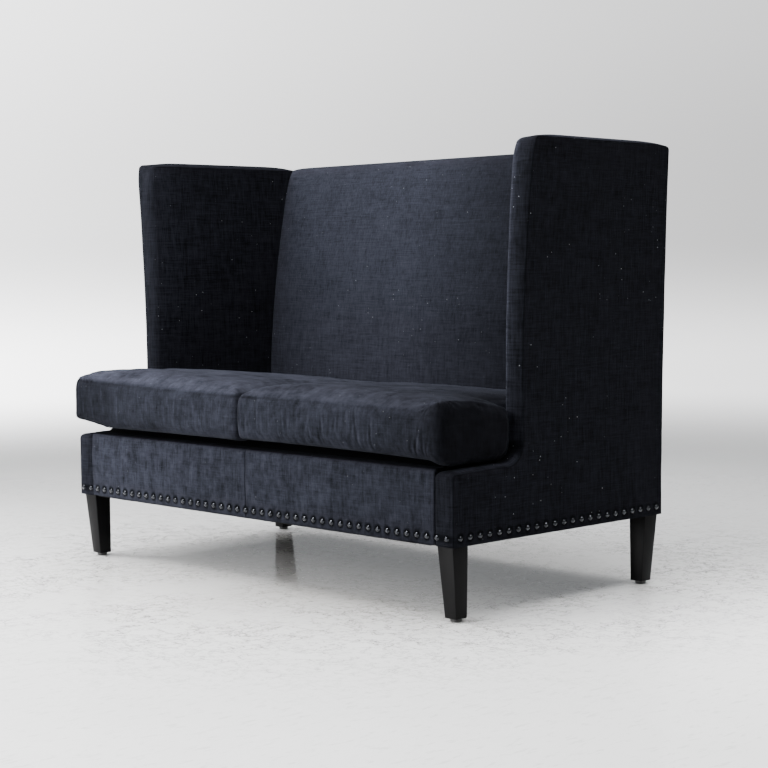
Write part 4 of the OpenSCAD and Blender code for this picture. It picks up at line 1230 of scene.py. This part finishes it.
def grown(base, tree, **values):
    """Runs a tree on a piece and leaves the result as its plain mesh."""
    modifier = base.modifiers.new("tree", "NODES")
    modifier.node_group = tree
    sockets = {item.name: item.identifier for item in tree.interface.items_tree if item.in_out == "INPUT"}
    for name, value in values.items():
        modifier[sockets[name.replace("_", " ")]] = value
    bpy.context.view_layer.update()
    mesh = applied(base)
    base.modifiers.clear()
    base.data = mesh
    return base


set_nails = nail_tree()
print("The nail tree has", len(set_nails.nodes), "nodes")


# %% Three rows of nails
def nail_row(name, points, facing):
    """A row of heads on the points, which all face one way."""
    row = make_mesh(name, points, [])
    layer = row.data.attributes.new("facing", "FLOAT_VECTOR", "POINT")
    layer.data.foreach_set("vector", np.tile(np.asarray(facing, dtype=np.float32), len(points)))
    grown(row, set_nails, Head=nail_head, Head_Size=1.0, Tip=math.radians(2), Seed=7, Finish=gunmetal)
    smooth(row.data)
    return row


def front_face(x):
    """Depth of the front at the height of the nails."""
    t = (abs(x) - inner_x) / side_t
    return 0.0 if t < 0 else 0.35 * border_draw(t) - border_crown / 4


front_count, side_count, sink = 45, 23, 0.0003
fronts = [(k - front_count // 2) * front_pitch for k in range(front_count)]
depths = [nail_first + k * side_pitch for k in range(side_count)]
rows = {"front": ([place(x, front_face(x) + sink, nail_z) for x in fronts], (0, -1, 0))}
for side, way in sides:
    rows[side] = ([place(way * (half_w - sink), d, nail_z) for d in depths], (way, 0, 0))
for side, (points, facing) in rows.items():
    dress(nail_row(side + "_nail_row", points, facing), gunmetal, "nail_metal", "settee", side + "_nails")

# %% [markdown]
# ## Legs and glides
# A leg is a square stick that tapers to its foot, and its foot stands in from its top. The eight
# corners come from the same insets as the frame's, and a small bevel takes off the sharp edges,
# as sanding and lacquer do. Each foot has a round glide with a soft rim.


# %% The legs
leg_top, leg_foot, leg_inset, foot_in_x, foot_in_y, glide_h = 0.052, 0.038, 0.009, 0.008, 0.018, 0.008
top_x = half_w - leg_inset - leg_top / 2
foot_x = half_w - leg_inset - foot_in_x - leg_foot / 2
top_in, foot_in = leg_inset + leg_top / 2, leg_inset + foot_in_y + leg_foot / 2


def make_leg(name, sx, rear):
    top_y, foot_y = (body_d - top_in, body_d - foot_in) if rear else (top_in, foot_in)
    work = bmesh.new()
    rings = []
    for x, y, w, z in ((foot_x, foot_y, leg_foot, glide_h), (top_x, top_y, leg_top, clear_h)):
        rings.append([work.verts.new((sx * x + a * w / 2, y - mid_depth + b * w / 2, z))
                      for a, b in ((-1, -1), (1, -1), (1, 1), (-1, 1))])
    work.faces.new(rings[0][::-1])
    work.faces.new(rings[1])
    for k in range(4):
        work.faces.new((rings[0][k], rings[0][(k + 1) % 4], rings[1][(k + 1) % 4], rings[1][k]))
    bmesh.ops.bevel(work, geom=work.edges[:], offset=0.0016, segments=3, profile=0.5, affect="EDGES")
    bmesh.ops.recalc_face_normals(work, faces=work.faces)
    mesh = bpy.data.meshes.new(name)
    work.to_mesh(mesh)
    work.free()
    smooth(mesh)
    mesh.set_sharp_from_angle(angle=math.radians(40))
    return put(name, mesh)


for row, rear in (("front", False), ("rear", True)):
    for side, way in sides:
        name = f"{row}_{side}_leg"
        dress(make_leg(name + "_lacquered", way, rear), black_lacquer, "black_wood", "settee", name)


# %% The glides
def make_glides():
    profile = [(0.0, 0.0), (0.0115, 0.0), (0.0132, 0.0006), (0.0140, 0.0022), (0.0140, 0.0062),
               (0.0136, 0.0074), (0.0126, glide_h), (0.0, glide_h)]
    one = turned("one_glide", profile, 40)
    points, faces = [], []
    base = points_of(one.data)
    for sx in (-1, 1):
        for depth in (foot_in, body_d - foot_in):
            start = len(points) * len(base)
            points.append(base + place(sx * foot_x, depth, 0.0))
            faces += [[start + n for n in polygon.vertices] for polygon in one.data.polygons]
    bpy.data.objects.remove(one)
    glides = make_mesh("foot_glides", np.concatenate(points), faces)
    glides.data.set_sharp_from_angle(angle=math.radians(50))
    return glides


dress(make_glides(), glide_plastic, "glide_plastic", "settee", "glides")

# %% [markdown]
# ## What the frame already has right
# Rails, posts, springs, clips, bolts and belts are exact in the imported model, so they stay and
# only get their finishes. A timber's grain runs along its longest side.

# %% Finishes for the frame's own nodes
words = {"springs": steel, "clips": steel, "wires": steel, "bolts": steel, "belts": jute, "zip": zips}
kept = 0
for name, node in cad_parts.items():
    if node.hide_render:
        continue
    low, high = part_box(name)
    size = list(high - low)
    timber = timbers["XYZ"[size.index(max(size))]]
    finish = next((m for word, m in words.items() if word in name), timber)
    node.data.materials.clear()
    node.data.materials.append(finish)
    kept += 1
bpy.data.objects.remove(nail_head)
print(kept, "nodes of the frame got their finishes")

# %% [markdown]
# ## The studio
# A pale floor of sealed concrete, faintly mottled and a little glossy, that fades into a pale
# background. One large soft light stands to the left of the camera, a second hangs overhead, and
# the room gives a low even light, so the side that faces away stays nearly black. Two washes
# brighten patches of the floor. A small spark in front, and two glints that only gloss can see,
# put the points of light on the nail heads.


# %% The floor
def concrete():
    f = Finish("sealed_concrete", Specular_IOR_Level=0.5, Coat_Weight=0.85, Coat_Roughness=0.06)
    far = (f.axis(f.place, "X") ** 2 + f.axis(f.place, "Y") ** 2) ** 0.5
    mottle, fleck = f.grain(5, 5, 5, 5.0, 0.65), f.grain(60, 18, 60, 4.0, 0.7)
    where = f.grain(2.6, 2.6, 1.0, 3.0, 0.6).above(0.44, 0.20) * (1 - far.above(1.2, 1.2))
    crack = 1 - (f.grain(15, 11, 1, 6.0, 0.66) - 0.5).size().above(0.012, 0.020)
    swirl = 1 - (f.grain(5, 14, 1, 6.0, 0.66) - 0.5).size().above(0.010, 0.016)
    scratch = 1 - (f.grain(0.9, 6, 1, 2.0, 0.5) - 0.5).size().above(0.0006, 0.0014)
    base = f.mix(mottle, colour(0.90, 0.90, 0.895), colour(0.98, 0.98, 0.98))
    base = f.mix(fleck.above(0.60, 0.10) * 0.20, base, colour(0.22, 0.22, 0.22))
    base = f.mix((crack * 0.75 + swirl * 0.50) * where, base, colour(0.16, 0.15, 0.14))
    base = f.mix(scratch * 0.5, base, colour(0.95, 0.95, 0.95))
    # Painted shadow: the floor is darkened under and round the settee.
    base = f.mix((1 - far.above(0.72, 0.8)) * 0.62, base, colour(0.60, 0.575, 0.55))
    return f.feed(Base_Color=base, Roughness=mottle * 0.10 + scratch * 0.15 + 0.02,
                  Alpha=1 - far.above(5.2, 4.4), Normal=f.bump(fleck, 0.0003, 0.12))


floor_half, floor_z = 14, -0.0005
floor_corners = [(a * floor_half, b * floor_half, floor_z) for a, b in ((-1, -1), (1, -1), (1, 1), (-1, 1))]
floor = make_mesh("studio_floor", floor_corners, [[0, 1, 2, 3]])
floor.data.materials.append(concrete())

# %% [markdown]
# The room is a plain backdrop, and only the camera sees its shading: brighter at the left and
# where wall and floor meet, duller high up at the right. What it sends to the settee is one even,
# low light, so the two jobs get a background shader each, and Light Path picks between them.

# %% The room
world = bpy.data.worlds.new("room")
bpy.context.scene.world = world
world.use_nodes = True
room = Bench(world.node_tree)
direction = room.add("ShaderNodeTexCoord", {}, {}, "Generated")
height = room.axis(direction, "Z")
cove = height.ramp(-0.055, 0.015, 0.78, 0.0)
upper = height.ramp(0.04, 0.15, 0.0, 0.22)
sideways = room.axis(direction, "Y").ramp(0.40, 0.96, 0.78, -0.52)
shade = cove + upper + sideways + 0.36
glow = shade.maths("EXPONENT", shade)
seen = room.add("ShaderNodeBackground", {}, {"Color": colour(0.985, 0.985, 0.995), "Strength": glow})
lit = room.add("ShaderNodeBackground", {}, {"Color": colour(0.94, 0.97, 1.0), "Strength": 0.29})
eye_ray = room.add("ShaderNodeLightPath", {}, {}, "Is Camera Ray")
either = room.add("ShaderNodeMixShader", {}, {0: eye_ray, 1: lit, 2: seen})
room.tree.links.new(either.socket, room.tree.nodes["World Output"].inputs[0])


# %% Lights
def soft_light(name, at, towards, size, power, spread=180.0):
    data = bpy.data.lights.new(name, "AREA")
    data.shape, data.size, data.energy, data.spread = "SQUARE", size, power, math.radians(spread)
    lamp = put(name, data)
    aim = (Vector(towards) - Vector(at)).to_track_quat("-Z", "Y")
    lamp.matrix_world = Matrix.Translation(at) @ aim.to_matrix().to_4x4()
    return lamp


soft_light("window", (-2.0, -5.4, 2.2), (0.0, 0.1, 0.5), 4.0, 560)
overhead = soft_light("overhead", (-0.9, -0.9, 4.6), (-0.2, -0.2, 0.0), 7.0, 1465)
overhead.visible_glossy = False
left_wash = soft_light("left_wash", (-4.6, -2.8, 3.2), (-2.6, -2.6, 0.0), 1.5, 700, 60.0)
right_wash = soft_light("right_wash", (1.75, 0.4, 2.6), (1.75, 0.4, 0.0), 0.8, 22, 50.0)
left_wash.visible_glossy = right_wash.visible_glossy = False
soft_light("spark", (0.4, -6.2, 2.6), (0.0, -0.2, 0.3), 0.5, 120)
for name, at in (("glint_side", (3.95, 0.75, 3.2)), ("glint_front", (-0.5, -3.0, 3.4))):
    soft_light(name, at, (0.3, -0.2, 0.2), 0.9, 420).visible_diffuse = False
